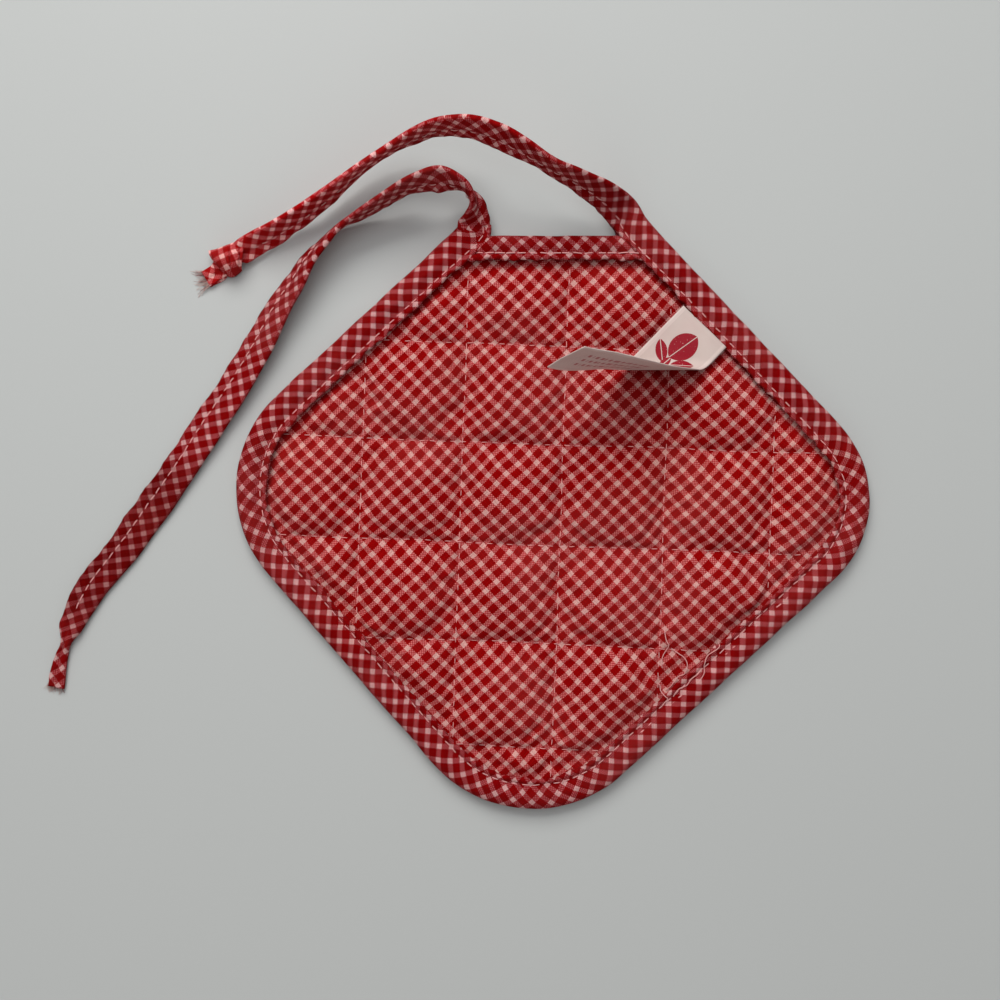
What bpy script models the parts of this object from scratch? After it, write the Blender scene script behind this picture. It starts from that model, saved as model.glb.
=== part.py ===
"""Quilted gingham pot holder with two tape ties, laid flat.

A square pad stands on its lower corner: three corners are rounded and the fourth is cut
straight across as a neck edge. A short strip binds the neck. One long bias tape starts as the
upper tie, binds the other sides and ends as the lower tie. A ribbon label stands up from the
right hand binding.

Frame: metres, +Z up, +Y towards the neck. The origin is the middle of the central quilted
cell, on the face that the pad rests on.
"""

import math

import bmesh
import bpy
from mathutils import Vector

MM = 0.001
OBJECT_NAME = "quilted_pot_holder"
GAP = 0.3 * MM

# Outline of the bound pad: each side is a line at a distance from the outline's centre, with
# its outward normal's angle in degrees, and a corner radius where it meets the next side.
OUTLINE_CENTRE = Vector((9.9 * MM, -0.5 * MM))
SIDES = (
    # normal, distance, radius of the corner with the next side
    (90.0, 65.8 * MM, 10.0 * MM),  # neck
    (44.6, 64.0 * MM, 27.5 * MM),  # upper right
    (-47.4, 63.1 * MM, 33.5 * MM),  # lower right
    (-138.9, 67.2 * MM, 32.5 * MM),  # lower left
    (-227.7, 66.1 * MM, 10.0 * MM),  # upper left
)
ARC_STEP = 4.0 * MM

# Quilting
CELL = 25.4 * MM
CELL_DIVISIONS = 4
QUILT_TURN = math.radians(-2.1)
GRID_CELLS = 4
CROWN_TOP = 5.0 * MM
SEAM_TOP = 3.2 * MM
SEAM_BOTTOM = 1.5 * MM
CELL_HOLLOW = 2.4 * MM
BORDER_TOP = 3.3 * MM
BORDER_BOTTOM = 1.3 * MM
BORDER_SLOPE = 3.6 * MM

# Folded tape and neck strip
BINDING_WIDTH = 8.0 * MM
BINDING_THICKNESS = 4.6 * MM
LEAF = 1.0 * MM
FOLD_WALL = 1.3 * MM
TIE_SLIT = 0.3 * MM
TIE_WALL = 0.8 * MM
SLOT_ROUND = 0.4 * MM
PAD_INSET = FOLD_WALL + SLOT_ROUND + 2 * GAP
TAPE_STEP = 4.4 * MM
HEADING_STEP = 0.01
EDGE_LEAF = 0.3 * MM
# Outer half of a folded section, from the open edge to the fold: place as a part of half the
# width, height as a part of half the thickness. The shoulder is measured back from the fold.
EDGE_HEIGHT = 0.92
CROWN_PLACE = 0.2
SHOULDER_BACK = 0.55
SHOULDER_HEIGHT = 0.86
ROOT_REACH = 0.8
NECK_WIDTH = 6.1 * MM
NECK_STATIONS = 12
NECK_WAVE = 0.35 * MM
NECK_HALF_WAVES = 5.5
NECK_END_GAP = 2.5 * GAP
GRIP = max(BINDING_WIDTH, NECK_WIDTH) + 4 * GAP

# Routes of the two ties along the middle of the tape, in millimetres. Lift is the clearance
# under the tape, roll turns its open edge down, in degrees, and thick is its whole thickness.
UPPER_TIE = (
    # x, y, lift, roll, width, thick
    (-78.3, 54.7, 0.0, 0, 4.2, 1.5),  # frayed end
    (-75.4, 56.4, 0.0, 0, 4.6, 1.6),
    (-73.7, 58.3, 0.0, 10, 5.5, 4.2),
    (-71.8, 59.7, 0.1, 15, 6.8, 5.2),  # knot
    (-69.9, 61.0, 0.2, 20, 6.0, 3.6),
    (-67.4, 62.1, 0.3, 38, 6.6, 1.9),
    (-60.2, 65.8, 0.5, 62, 7.8, 1.7),
    (-53.4, 69.9, 1.2, 72, 8.4, 1.6),
    (-45.9, 75.0, 2.5, 80, 8.6, 1.6),
    (-38.5, 80.6, 4.0, 92, 8.6, 1.6),
    (-31.0, 85.1, 5.5, 93, 8.6, 1.6),
    (-24.6, 87.8, 7.5, 86, 8.6, 1.6),
    (-18.4, 89.2, 10.0, 80, 8.6, 1.6),
    (-11.0, 88.7, 12.0, 71, 8.6, 1.6),
    (-3.8, 86.0, 13.5, 65, 8.6, 1.6),
    (2.3, 82.7, 13.5, 71, 8.6, 1.6),
    (8.4, 79.3, 12.0, 80, 8.6, 1.6),
    (14.5, 77.2, 9.0, 73, 8.6, 1.6),
    (21.5, 74.3, 5.0, 52, 8.6, 1.6),
    (26.9, 70.9, 1.5, 16, 8.6, 2.2),
    (30.7, 66.0, 0.0, 0, 8.4, 4.6),  # upper right end of the neck
)
LOWER_TIE = (
    # x, y, lift, roll, width, thick
    (-11.2, 65.0, 0.0, 0, 8.4, 4.6),  # upper left end of the neck
    (-10.3, 68.1, 1.5, 12, 8.4, 2.4),
    (-9.9, 70.9, 3.0, 40, 6.6, 2.1),
    (-10.3, 73.0, 4.6, 62, 6.2, 1.9),
    (-11.9, 74.9, 6.2, 86, 6.8, 1.8),  # turned over
    (-14.6, 76.3, 7.4, 108, 7.8, 1.7),
    (-18.6, 77.2, 8.0, 122, 8.6, 1.6),
    (-23.4, 76.5, 7.4, 107, 8.6, 1.6),
    (-28.2, 75.0, 5.8, 98, 8.6, 1.6),
    (-33.7, 72.2, 3.8, 94, 8.6, 1.6),
    (-39.3, 69.3, 2.0, 88, 8.6, 1.6),
    (-44.1, 66.8, 1.2, 76, 8.6, 1.6),
    (-47.8, 63.3, 0.8, 68, 8.6, 1.6),
    (-51.9, 58.8, 0.5, 58, 8.6, 1.6),
    (-55.4, 53.1, 0.3, 47, 8.6, 1.6),
    (-59.5, 46.9, 0.2, 37, 8.6, 1.6),
    (-64.7, 37.4, 0.1, 25, 8.6, 1.6),
    (-71.5, 26.4, 0.0, 16, 8.6, 1.6),
    (-78.8, 15.6, 0.0, 9, 8.6, 1.6),
    (-85.8, 5.1, 0.0, 4, 8.6, 1.6),
    (-92.6, -4.4, 0.0, 0, 8.6, 1.6),
    (-99.6, -14.1, 0.0, 0, 8.3, 1.6),
    (-106.0, -21.9, 0.0, 0, 7.8, 1.7),
    (-109.8, -28.0, 0.0, 0, 7.1, 1.9),
    (-112.4, -33.7, 0.0, 0, 5.6, 2.3),
    (-113.5, -37.2, 0.0, 0, 2.6, 2.4),  # pinched
    (-114.7, -40.8, 0.0, 0, 3.2, 1.8),
    (-116.3, -48.7, 0.0, 0, 4.2, 1.4),  # frayed end
)

# Label: a ribbon that leaves the binding square to it, lies a little way over the pad and
# then stands up along a crease that runs left to right.
LABEL_START = Vector((47.0 * MM, 41.7 * MM))
LABEL_ALONG = Vector((-0.699, -0.715))
LABEL_WIDTH = 15.0 * MM
LABEL_LENGTH = 48.0 * MM
LABEL_THICKNESS = 1.0 * MM
LABEL_BASE = CROWN_TOP + GAP
LABEL_CREASE_Y = 34.0 * MM
LABEL_BEND = 3.0 * MM
LABEL_LEAN = math.radians(96)
LABEL_COLUMNS = 3
LABEL_ROWS = 16

# Finishes: colour, roughness
GINGHAM = ((0.42, 0.05, 0.05, 1.0), 0.9)
GINGHAM_TAPE = ((0.36, 0.03, 0.035, 1.0), 0.9)
SATIN = ((0.75, 0.68, 0.66, 1.0), 0.45)


def clear_scene():
    """Remove whatever the scene holds."""
    for obj in list(bpy.data.objects):
        bpy.data.objects.remove(obj, do_unlink=True)


def new_collection(name):
    """Collection in the scene's own collection."""
    collection = bpy.data.collections.new(name)
    bpy.context.scene.collection.children.link(collection)
    return collection


def make_material(name, colour, roughness):
    """Plain cloth finish."""
    material = bpy.data.materials.new(name)
    material.use_nodes = True
    shader = material.node_tree.nodes["Principled BSDF"]
    shader.inputs["Base Color"].default_value = colour
    shader.inputs["Roughness"].default_value = roughness
    shader.inputs["Metallic"].default_value = 0.0
    return material


def add_object(name, mesh, collection, material=None):
    """Object with its mesh, in a collection."""
    obj = bpy.data.objects.new(name, mesh)
    collection.objects.link(obj)
    if material is not None:
        mesh.materials.append(material)
    return obj


def direction(angle):
    """Flat unit vector at an angle from +X, in radians."""
    return Vector((math.cos(angle), math.sin(angle)))


def meet(first_normal, first_distance, second_normal, second_distance):
    """Point where two lines, each given by its normal and distance, cross."""
    across = first_normal.x * second_normal.y - first_normal.y * second_normal.x
    x = (first_distance * second_normal.y - second_distance * first_normal.y) / across
    y = (first_normal.x * second_distance - second_normal.x * first_distance) / across
    return Vector((x, y))


def outline(inset):
    """Clockwise outline of the pad, moved in by inset, as a list with one arc per corner.

    The first arc is the right end of the neck and the last one is its left end.
    """
    arcs = []
    for index, (angle, distance, radius) in enumerate(SIDES):
        next_angle, next_distance, _ = SIDES[(index + 1) % len(SIDES)]
        start = math.radians(angle)
        turn = math.radians((angle - next_angle) % 360.0)
        bend = max(radius - inset, 0.5 * MM)
        centre = meet(
            direction(start), distance - inset - bend,
            direction(start - turn), next_distance - inset - bend,
        )
        steps = max(2, round(radius * turn / ARC_STEP))
        arc = []
        for step in range(steps + 1):
            arc.append(OUTLINE_CENTRE + centre + bend * direction(start - turn * step / steps))
        arcs.append(arc)
    return arcs


def loft(name, rings):
    """Skin a row of folded sections that all have the same number of points."""
    bm = bmesh.new()
    verts = [[bm.verts.new(point) for point in ring] for ring in rings]
    count = len(rings[0])
    for near, far in zip(verts, verts[1:]):
        for i in range(count):
            j = (i + 1) % count
            bm.faces.new((near[i], near[j], far[j], far[i]))
    # A folded section pairs each outer point with an inner one, so each end is a strip.
    for ring in (verts[0], verts[-1]):
        for i in range(count // 2 - 1):
            bm.faces.new((ring[i], ring[i + 1], ring[count - 2 - i], ring[count - 1 - i]))
    bmesh.ops.recalc_face_normals(bm, faces=bm.faces)
    mesh = bpy.data.meshes.new(name)
    bm.to_mesh(mesh)
    bm.free()
    return mesh


def folded_section(width, thick, slit, wall):
    """Section of a strip folded once, as (across, up) pairs.

    Across runs from the fold at -width / 2 to the open edge. The outer points come first and
    the slit's points follow in reverse, so the two halves pair up.
    """
    half = width / 2
    top = thick / 2
    gap = slit / 2
    shoulder = -half + SHOULDER_BACK * top
    crown = CROWN_PLACE * half
    edge = max(top * EDGE_HEIGHT, gap + EDGE_LEAF)
    outer = (
        (half, edge), (crown, top), (shoulder, SHOULDER_HEIGHT * top),
        (-half, 0.0),
        (shoulder, -SHOULDER_HEIGHT * top), (crown, -top), (half, -edge),
    )
    root = -half + wall
    inner = (
        (half, -gap), (crown, -gap), (root + SLOT_ROUND, -gap),
        (root, 0.0),
        (root + SLOT_ROUND, gap), (crown, gap), (half, gap),
    )
    return outer + inner


def spline_point(points, index, t):
    """Catmull-Rom point between points[index] and points[index + 1]."""
    p1 = points[index]
    p2 = points[index + 1]
    p0 = points[index - 1] if index > 0 else 2 * p1 - p2
    p3 = points[index + 2] if index + 2 < len(points) else 2 * p2 - p1
    return 0.5 * (
        2 * p1 + (p2 - p0) * t + (2 * p0 - 5 * p1 + 4 * p2 - p3) * t ** 2
        + (3 * p1 - p0 - 3 * p2 + p3) * t ** 3
    )


def tape_rows():
    """Rows of the whole tape: centre x, y, lift, roll, width, thickness and slit, in metres."""
    rows = []

    def add_tie(table):
        for x, y, lift, roll, width, thick in table:
            bound = thick * MM == BINDING_THICKNESS
            slit = BINDING_THICKNESS - 2 * LEAF if bound else TIE_SLIT
            rows.append((x * MM, y * MM, lift * MM, math.radians(roll), width * MM,
                         thick * MM, slit))

    add_tie(UPPER_TIE)
    arcs = outline(BINDING_WIDTH / 2)[1:-1]
    slit = BINDING_THICKNESS - 2 * LEAF
    right_root = Vector(UPPER_TIE[-1][:2]) * MM
    left_root = Vector(LOWER_TIE[0][:2]) * MM
    neck_right = arcs[0][0].lerp(right_root, ROOT_REACH)
    neck_left = arcs[-1][-1].lerp(left_root, ROOT_REACH)
    route = [neck_right]
    for arc in arcs:
        # The straight side before each arc takes points as close as the arc's own.
        pieces = max(1, round((arc[0] - route[-1]).length / (2 * ARC_STEP)))
        start = route[-1]
        for piece in range(1, pieces):
            route.append(start.lerp(arc[0], piece / pieces))
        route.extend(arc)
    last = route[-1]
    pieces = max(1, round((neck_left - last).length / (2 * ARC_STEP)))
    for piece in range(1, pieces + 1):
        route.append(last.lerp(neck_left, piece / pieces))
    for point in route:
        rows.append((point.x, point.y, 0.0, 0.0, BINDING_WIDTH, BINDING_THICKNESS, slit))
    add_tie(LOWER_TIE)
    return rows


def rest_height(lift, roll, width, thick):
    """Height of the tape's middle when its lowest edge is lift above the surface."""
    return lift + width / 2 * abs(math.sin(roll)) + thick / 2 * abs(math.cos(roll))


def tape_stations():
    """Stations along the tape: point, heading, roll, width, thickness, slit."""
    rows = tape_rows()
    points = [Vector((row[0], row[1], rest_height(*row[2:6]))) for row in rows]
    stations = []
    for index in range(len(rows) - 1):
        steps = max(1, round((points[index + 1] - points[index]).length / TAPE_STEP))
        for step in range(steps):
            t = step / steps
            near = spline_point(points, index, max(t - HEADING_STEP, 0.0))
            far = spline_point(points, index, t + HEADING_STEP)
            values = [a + (b - a) * t for a, b in zip(rows[index][3:], rows[index + 1][3:])]
            point = spline_point(points, index, t)
            stations.append((point, (far - near).normalized(), *values))
    heading = (points[-1] - points[-2]).normalized()
    stations.append((points[-1], heading, *rows[-1][3:]))
    return stations


def tape_ring(station):
    """World points of the tape's folded section at one station."""
    point, heading, roll, width, thick, slit = station
    side = heading.cross(Vector((0, 0, 1))).normalized()
    up = side.cross(heading)
    across = side * math.cos(roll) - up * math.sin(roll)
    normal = up * math.cos(roll) + side * math.sin(roll)
    wall = FOLD_WALL if slit > TIE_SLIT else TIE_WALL
    ring = []
    for a, u in folded_section(width, thick, slit, wall):
        place = point + across * a + normal * u
        ring.append(Vector((place.x, place.y, max(place.z, 0.0))))
    return ring


def build_edge_tape(collection, material):
    """One long tape: upper tie, binding and lower tie."""
    rings = [tape_ring(station) for station in tape_stations()]
    return add_object("edge_tape", loft("edge_tape", rings), collection, material)


def open_edge(side):
    """Open edge of the binding near one end of the neck, as (x, y) points by rising y."""
    reach = SIDES[0][1] / 2
    points = []
    for station in tape_stations():
        point, heading, _, width, _, _ = station
        offset = (point.x - OUTLINE_CENTRE.x) * side
        near_neck = 0 < offset < reach < point.y
        if not near_neck or point.z > BINDING_THICKNESS:
            continue
        inward = heading.cross(Vector((0, 0, 1))).normalized()
        edge = point + inward * width / 2
        points.append((edge.x, edge.y))
    return sorted(points, key=lambda pair: pair[1])


def edge_x(points, y):
    """x of an edge at height y, read between its points."""
    for (x0, y0), (x1, y1) in zip(points, points[1:]):
        if y <= y1:
            return x0 + (x1 - x0) * (y - y0) / (y1 - y0)
    return points[-1][0]


def build_neck_binding(collection, material):
    """Strip folded over the cut top edge, its ends cut to the side binding's slant."""
    top = OUTLINE_CENTRE.y + SIDES[0][1]
    left = open_edge(-1)
    right = open_edge(1)
    slit = BINDING_THICKNESS - 2 * LEAF
    rings = []
    for index in range(NECK_STATIONS + 1):
        t = index / NECK_STATIONS
        wave = NECK_WAVE * math.sin(t * NECK_HALF_WAVES * math.pi)
        ring = []
        for a, u in folded_section(NECK_WIDTH, BINDING_THICKNESS, slit, FOLD_WALL):
            stretch = 1 + wave / NECK_WIDTH * (a / NECK_WIDTH + 0.5)
            y = top - (a + NECK_WIDTH / 2) * stretch
            x_left = edge_x(left, y) + NECK_END_GAP
            x_right = edge_x(right, y) - NECK_END_GAP
            ring.append(Vector((x_left + (x_right - x_left) * t, y, BINDING_THICKNESS / 2 + u)))
        rings.append(ring)
    return add_object("neck_binding", loft("neck_binding", rings), collection, material)


def puff(x, y):
    """Loft of the quilting at a point: 0 on a sewn line and 1 in the middle of a cell."""
    across = math.cos(math.pi * x / CELL)
    along = math.cos(math.pi * y / CELL)
    return math.sqrt(abs(across * along))


def quilted_slab():
    """Slab of cells much wider than the pad, sewn down along a square grid."""
    size = 2 * GRID_CELLS * CELL
    divisions = 2 * GRID_CELLS * CELL_DIVISIONS
    bm = bmesh.new()
    bmesh.ops.create_grid(bm, x_segments=divisions, y_segments=divisions, size=size / 2)
    walls = bmesh.ops.extrude_face_region(bm, geom=bm.faces[:])["geom"]
    upper = {item for item in walls if isinstance(item, bmesh.types.BMVert)}
    for vert in bm.verts:
        loft_here = puff(vert.co.x, vert.co.y)
        if vert in upper:
            vert.co.z = SEAM_TOP + (CROWN_TOP - SEAM_TOP) * loft_here
        else:
            vert.co.z = max(0.0, SEAM_BOTTOM - CELL_HOLLOW * loft_here)
    bmesh.ops.recalc_face_normals(bm, faces=bm.faces)
    mesh = bpy.data.meshes.new("quilted_slab")
    bm.to_mesh(mesh)
    bm.free()
    return mesh


def envelope_mesh():
    """Space that the bindings leave the pad: thin at the border, open over the cells."""
    levels = (
        # inset, top, bottom
        (PAD_INSET, BORDER_TOP, BORDER_BOTTOM),
        (GRIP, BORDER_TOP, BORDER_BOTTOM),
        (GRIP + BORDER_SLOPE, CROWN_TOP + MM, -MM),
    )
    bm = bmesh.new()
    loops = []
    for inset, top, bottom in levels:
        path = [point for arc in outline(inset) for point in arc]
        loops.append([
            [bm.verts.new((point.x, point.y, z)) for point in path] for z in (top, bottom)
        ])
    count = len(loops[0][0])
    for i in range(count):
        j = (i + 1) % count
        bm.faces.new((loops[0][0][i], loops[0][0][j], loops[0][1][j], loops[0][1][i]))
        for layer in (0, 1):
            for near, far in zip(loops, loops[1:]):
                bm.faces.new((near[layer][i], near[layer][j], far[layer][j], far[layer][i]))
    bm.faces.new(loops[-1][0])
    bm.faces.new(loops[-1][1])
    bmesh.ops.recalc_face_normals(bm, faces=bm.faces)
    mesh = bpy.data.meshes.new("pad_envelope")
    bm.to_mesh(mesh)
    bm.free()
    return mesh


def build_pad(collection, cutters, material):
    """Quilted slab cut to the space that the bindings leave it."""
    pad = add_object("quilted_pad", quilted_slab(), collection, material)
    pad.rotation_euler = (0.0, 0.0, QUILT_TURN)
    envelope = add_object("pad_envelope", envelope_mesh(), cutters)
    envelope.hide_render = True
    envelope.display_type = "WIRE"
    trim = pad.modifiers.new("border", "BOOLEAN")
    trim.operation = "INTERSECT"
    trim.solver = "EXACT"
    trim.object = envelope
    return pad


def label_point(along, across):
    """Place of a label point: flat over the pad, then up round the crease."""
    side = Vector((-LABEL_ALONG.y, LABEL_ALONG.x))
    flat = LABEL_START + LABEL_ALONG * along + side * across
    past = LABEL_CREASE_Y - flat.y
    if past <= 0:
        return Vector((flat.x, flat.y, LABEL_BASE))
    arc = min(past, LABEL_BEND * LABEL_LEAN)
    angle = arc / LABEL_BEND
    rest = past - arc
    y = LABEL_CREASE_Y - LABEL_BEND * math.sin(angle) - rest * math.cos(angle)
    z = LABEL_BASE + LABEL_BEND * (1 - math.cos(angle)) + rest * math.sin(angle)
    return Vector((flat.x, y, z))


def build_label(collection, material):
    """Ribbon bent up along its crease."""
    bm = bmesh.new()
    bmesh.ops.create_grid(bm, x_segments=LABEL_ROWS, y_segments=LABEL_COLUMNS, size=0.5)
    for vert in bm.verts:
        along = 1.5 * GAP + (vert.co.x + 0.5) * LABEL_LENGTH
        vert.co = label_point(along, vert.co.y * LABEL_WIDTH)
    bmesh.ops.recalc_face_normals(bm, faces=bm.faces)
    mesh = bpy.data.meshes.new("label")
    bm.to_mesh(mesh)
    bm.free()
    label = add_object("label", mesh, collection, material)
    thickness = label.modifiers.new("thickness", "SOLIDIFY")
    thickness.thickness = LABEL_THICKNESS
    thickness.offset = 1.0
    return label


def main():
    """Build the four pieces."""
    clear_scene()
    parts = new_collection(OBJECT_NAME)
    cutters = new_collection("cutters")
    gingham = make_material("gingham", *GINGHAM)
    tape = make_material("gingham_tape", *GINGHAM_TAPE)
    satin = make_material("satin", *SATIN)
    build_pad(parts, cutters, gingham)
    build_neck_binding(parts, tape)
    build_edge_tape(parts, tape)
    build_label(parts, satin)
    bpy.context.view_layer.update()


main()
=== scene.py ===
"""Quilted gingham pot holder with two tape ties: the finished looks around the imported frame.

The pad is quilted cloth, inflated by a cloth simulation between its sewn lines. One long bias
tape is the upper tie, the binding and the lower tie. A short strip binds the neck, and a satin
ribbon label is caught in the right hand binding. Everything is in metres, in the frame's axes.
"""

import sys

import logging
import math
import random
from collections.abc import Callable, Sequence
from dataclasses import dataclass, replace
from enum import Enum
from typing import NamedTuple

import bmesh
import bpy
import numpy as np
from mathutils import Matrix, Vector, noise
from mathutils.bvhtree import BVHTree
from mathutils.geometry import delaunay_2d_cdt

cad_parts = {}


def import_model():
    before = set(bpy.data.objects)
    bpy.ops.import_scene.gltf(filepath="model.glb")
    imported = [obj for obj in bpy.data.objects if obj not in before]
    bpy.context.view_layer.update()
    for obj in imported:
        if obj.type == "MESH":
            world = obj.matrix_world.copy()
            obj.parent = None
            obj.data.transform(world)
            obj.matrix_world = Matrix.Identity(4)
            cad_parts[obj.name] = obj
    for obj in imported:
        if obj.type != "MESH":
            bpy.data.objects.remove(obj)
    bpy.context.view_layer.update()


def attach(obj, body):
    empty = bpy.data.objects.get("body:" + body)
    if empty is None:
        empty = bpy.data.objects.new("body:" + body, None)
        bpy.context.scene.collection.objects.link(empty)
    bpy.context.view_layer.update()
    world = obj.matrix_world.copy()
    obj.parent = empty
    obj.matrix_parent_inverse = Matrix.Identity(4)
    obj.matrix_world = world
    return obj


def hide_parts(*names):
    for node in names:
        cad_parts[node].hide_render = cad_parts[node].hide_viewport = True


MM = 0.001
BODY = "root"
LOG = logging.getLogger("pot_holder")

Colour = tuple[float, float, float, float]
Point = tuple[float, float, float]


class Slot(Enum):
    """Material slots."""

    GINGHAM = "gingham"
    TAPE = "tape"
    SATIN = "satin"


class Face(Enum):
    """The two faces of a folded tape, as the sign of its normal."""

    FRONT = 1
    BACK = -1


# ---------------------------------------------------------------- small helpers


def direction(degrees: float) -> Vector:
    """Return the flat unit vector at an angle from +X."""
    angle = math.radians(degrees)
    return Vector((math.cos(angle), math.sin(angle)))


def ripple(x: float, y: float, grain: float, seed: float = 0.0) -> float:
    """Smooth noise from about -1 to 1.

    Args:
        x: First coordinate, in metres.
        y: Second coordinate, in metres.
        grain: Distance over which the noise changes, in metres.
        seed: Layer of the noise.

    Returns:
        The noise's value.
    """
    return noise.noise(Vector((x / grain, y / grain, 7.3 * seed + 0.5)))


def eased(knots: Sequence[tuple[float, float]], x: float) -> float:
    """Read a curve that eases from knot to knot.

    Args:
        knots: Pairs of place and value, by rising place.
        x: The place to read.

    Returns:
        The value there, held flat outside the knots.
    """
    if x <= knots[0][0]:
        return knots[0][1]
    for (x0, y0), (x1, y1) in zip(knots, knots[1:]):
        if x <= x1:
            t = (x - x0) / (x1 - x0)
            return y0 + (y1 - y0) * t * t * (3 - 2 * t)
    return knots[-1][1]


def catmull(p0: np.ndarray, p1: np.ndarray, p2: np.ndarray, p3: np.ndarray, t: float) -> np.ndarray:
    """Catmull-Rom value between p1 and p2.

    Args:
        p0: Value before p1.
        p1: Value at t = 0.
        p2: Value at t = 1.
        p3: Value after p2.
        t: Place between p1 and p2.

    Returns:
        The value at t.
    """
    return 0.5 * (
        2 * p1 + (p2 - p0) * t + (2 * p0 - 5 * p1 + 4 * p2 - p3) * t ** 2
        + (3 * p1 - p0 - 3 * p2 + p3) * t ** 3
    )


def smooth_route(points: Sequence[Sequence[float]], spacing: float) -> list[np.ndarray]:
    """Points along a smooth curve through some others.

    Args:
        points: Rows of numbers that start with a place of two or three coordinates.
        spacing: Distance between the new points, about, in metres.

    Returns:
        The new rows.
    """
    rows = [np.array(point, dtype=float) for point in points]
    rows = [2 * rows[0] - rows[1], *rows, 2 * rows[-1] - rows[-2]]
    route = []
    for i in range(1, len(rows) - 2):
        pieces = max(1, round(float(np.linalg.norm(rows[i + 1][:3] - rows[i][:3])) / spacing))
        for piece in range(pieces):
            route.append(catmull(rows[i - 1], rows[i], rows[i + 1], rows[i + 2], piece / pieces))
    route.append(rows[-2])
    return route


def link_object(name: str, mesh: bpy.types.Mesh) -> bpy.types.Object:
    """Put a mesh in the scene as a new object at the origin."""
    obj = bpy.data.objects.new(name, mesh)
    bpy.context.scene.collection.objects.link(obj)
    return obj


def mesh_from(name: str, bm: bmesh.types.BMesh) -> bpy.types.Mesh:
    """Turn a bmesh into a smooth shaded mesh with its faces outward, and free it."""
    bmesh.ops.recalc_face_normals(bm, faces=bm.faces)
    for face in bm.faces:
        face.smooth = True
    mesh = bpy.data.meshes.new(name)
    bm.to_mesh(mesh)
    bm.free()
    return mesh


def loft(name: str, rings: Sequence[Sequence[Vector]],
         marks: Sequence[Sequence[tuple[float, float]]]) -> bpy.types.Mesh:
    """Skin a row of closed rings and cap both ends.

    Args:
        name: The mesh's name.
        rings: Rings with the same number of points.
        marks: Place on the flat cloth of each point, ring by ring.

    Returns:
        A closed mesh with a UV map named cloth.
    """
    bm = bmesh.new()
    cloth = bm.loops.layers.uv.new("cloth")
    verts = [[bm.verts.new(point) for point in ring] for ring in rings]
    flat = {vert: mark for row, mark_row in zip(verts, marks) for vert, mark in zip(row, mark_row)}
    count = len(rings[0])
    for near, far in zip(verts, verts[1:]):
        for i in range(count):
            j = (i + 1) % count
            bm.faces.new((near[i], near[j], far[j], far[i]))
    caps = [bm.faces.new(verts[0]), bm.faces.new(verts[-1])]
    bmesh.ops.triangulate(bm, faces=caps)
    for face in bm.faces:
        for corner in face.loops:
            corner[cloth].uv = flat[corner.vert]
    return mesh_from(name, bm)


def thin_sheet(name: str, rows: Sequence[Sequence[Vector]],
               marks: Sequence[Sequence[tuple[float, float]]], wall: float) -> bpy.types.Mesh:
    """Give a grid of points a thickness and close it.

    Args:
        name: The mesh's name.
        rows: Grid of points on the sheet's middle.
        marks: Place on the flat cloth of each point.
        wall: The sheet's thickness, in metres.

    Returns:
        A closed mesh with a UV map named cloth.
    """
    high, wide = len(rows), len(rows[0])
    grid = np.array([[tuple(point) for point in row] for row in rows])
    along = np.gradient(grid, axis=0)
    across = np.gradient(grid, axis=1)
    normals = np.cross(along, across)
    normals /= np.maximum(np.linalg.norm(normals, axis=2, keepdims=True), 1e-12)
    rings = []
    flat = []
    for i in range(high):
        upper = [Vector(grid[i, j] + normals[i, j] * wall / 2) for j in range(wide)]
        lower = [Vector(grid[i, j] - normals[i, j] * wall / 2) for j in range(wide)]
        rings.append(upper + lower[::-1])
        flat.append(list(marks[i]) + list(marks[i])[::-1])
    return loft(name, rings, flat)


def dress(obj: bpy.types.Object, slot: Slot, material: bpy.types.Material) -> None:
    """Give a piece its material and its body."""
    obj.data.materials.clear()
    obj.data.materials.append(material)
    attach(obj, BODY)
    LOG.info("%s: %d faces", obj.name, len(obj.data.polygons))


# ---------------------------------------------------------------- node trees


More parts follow.
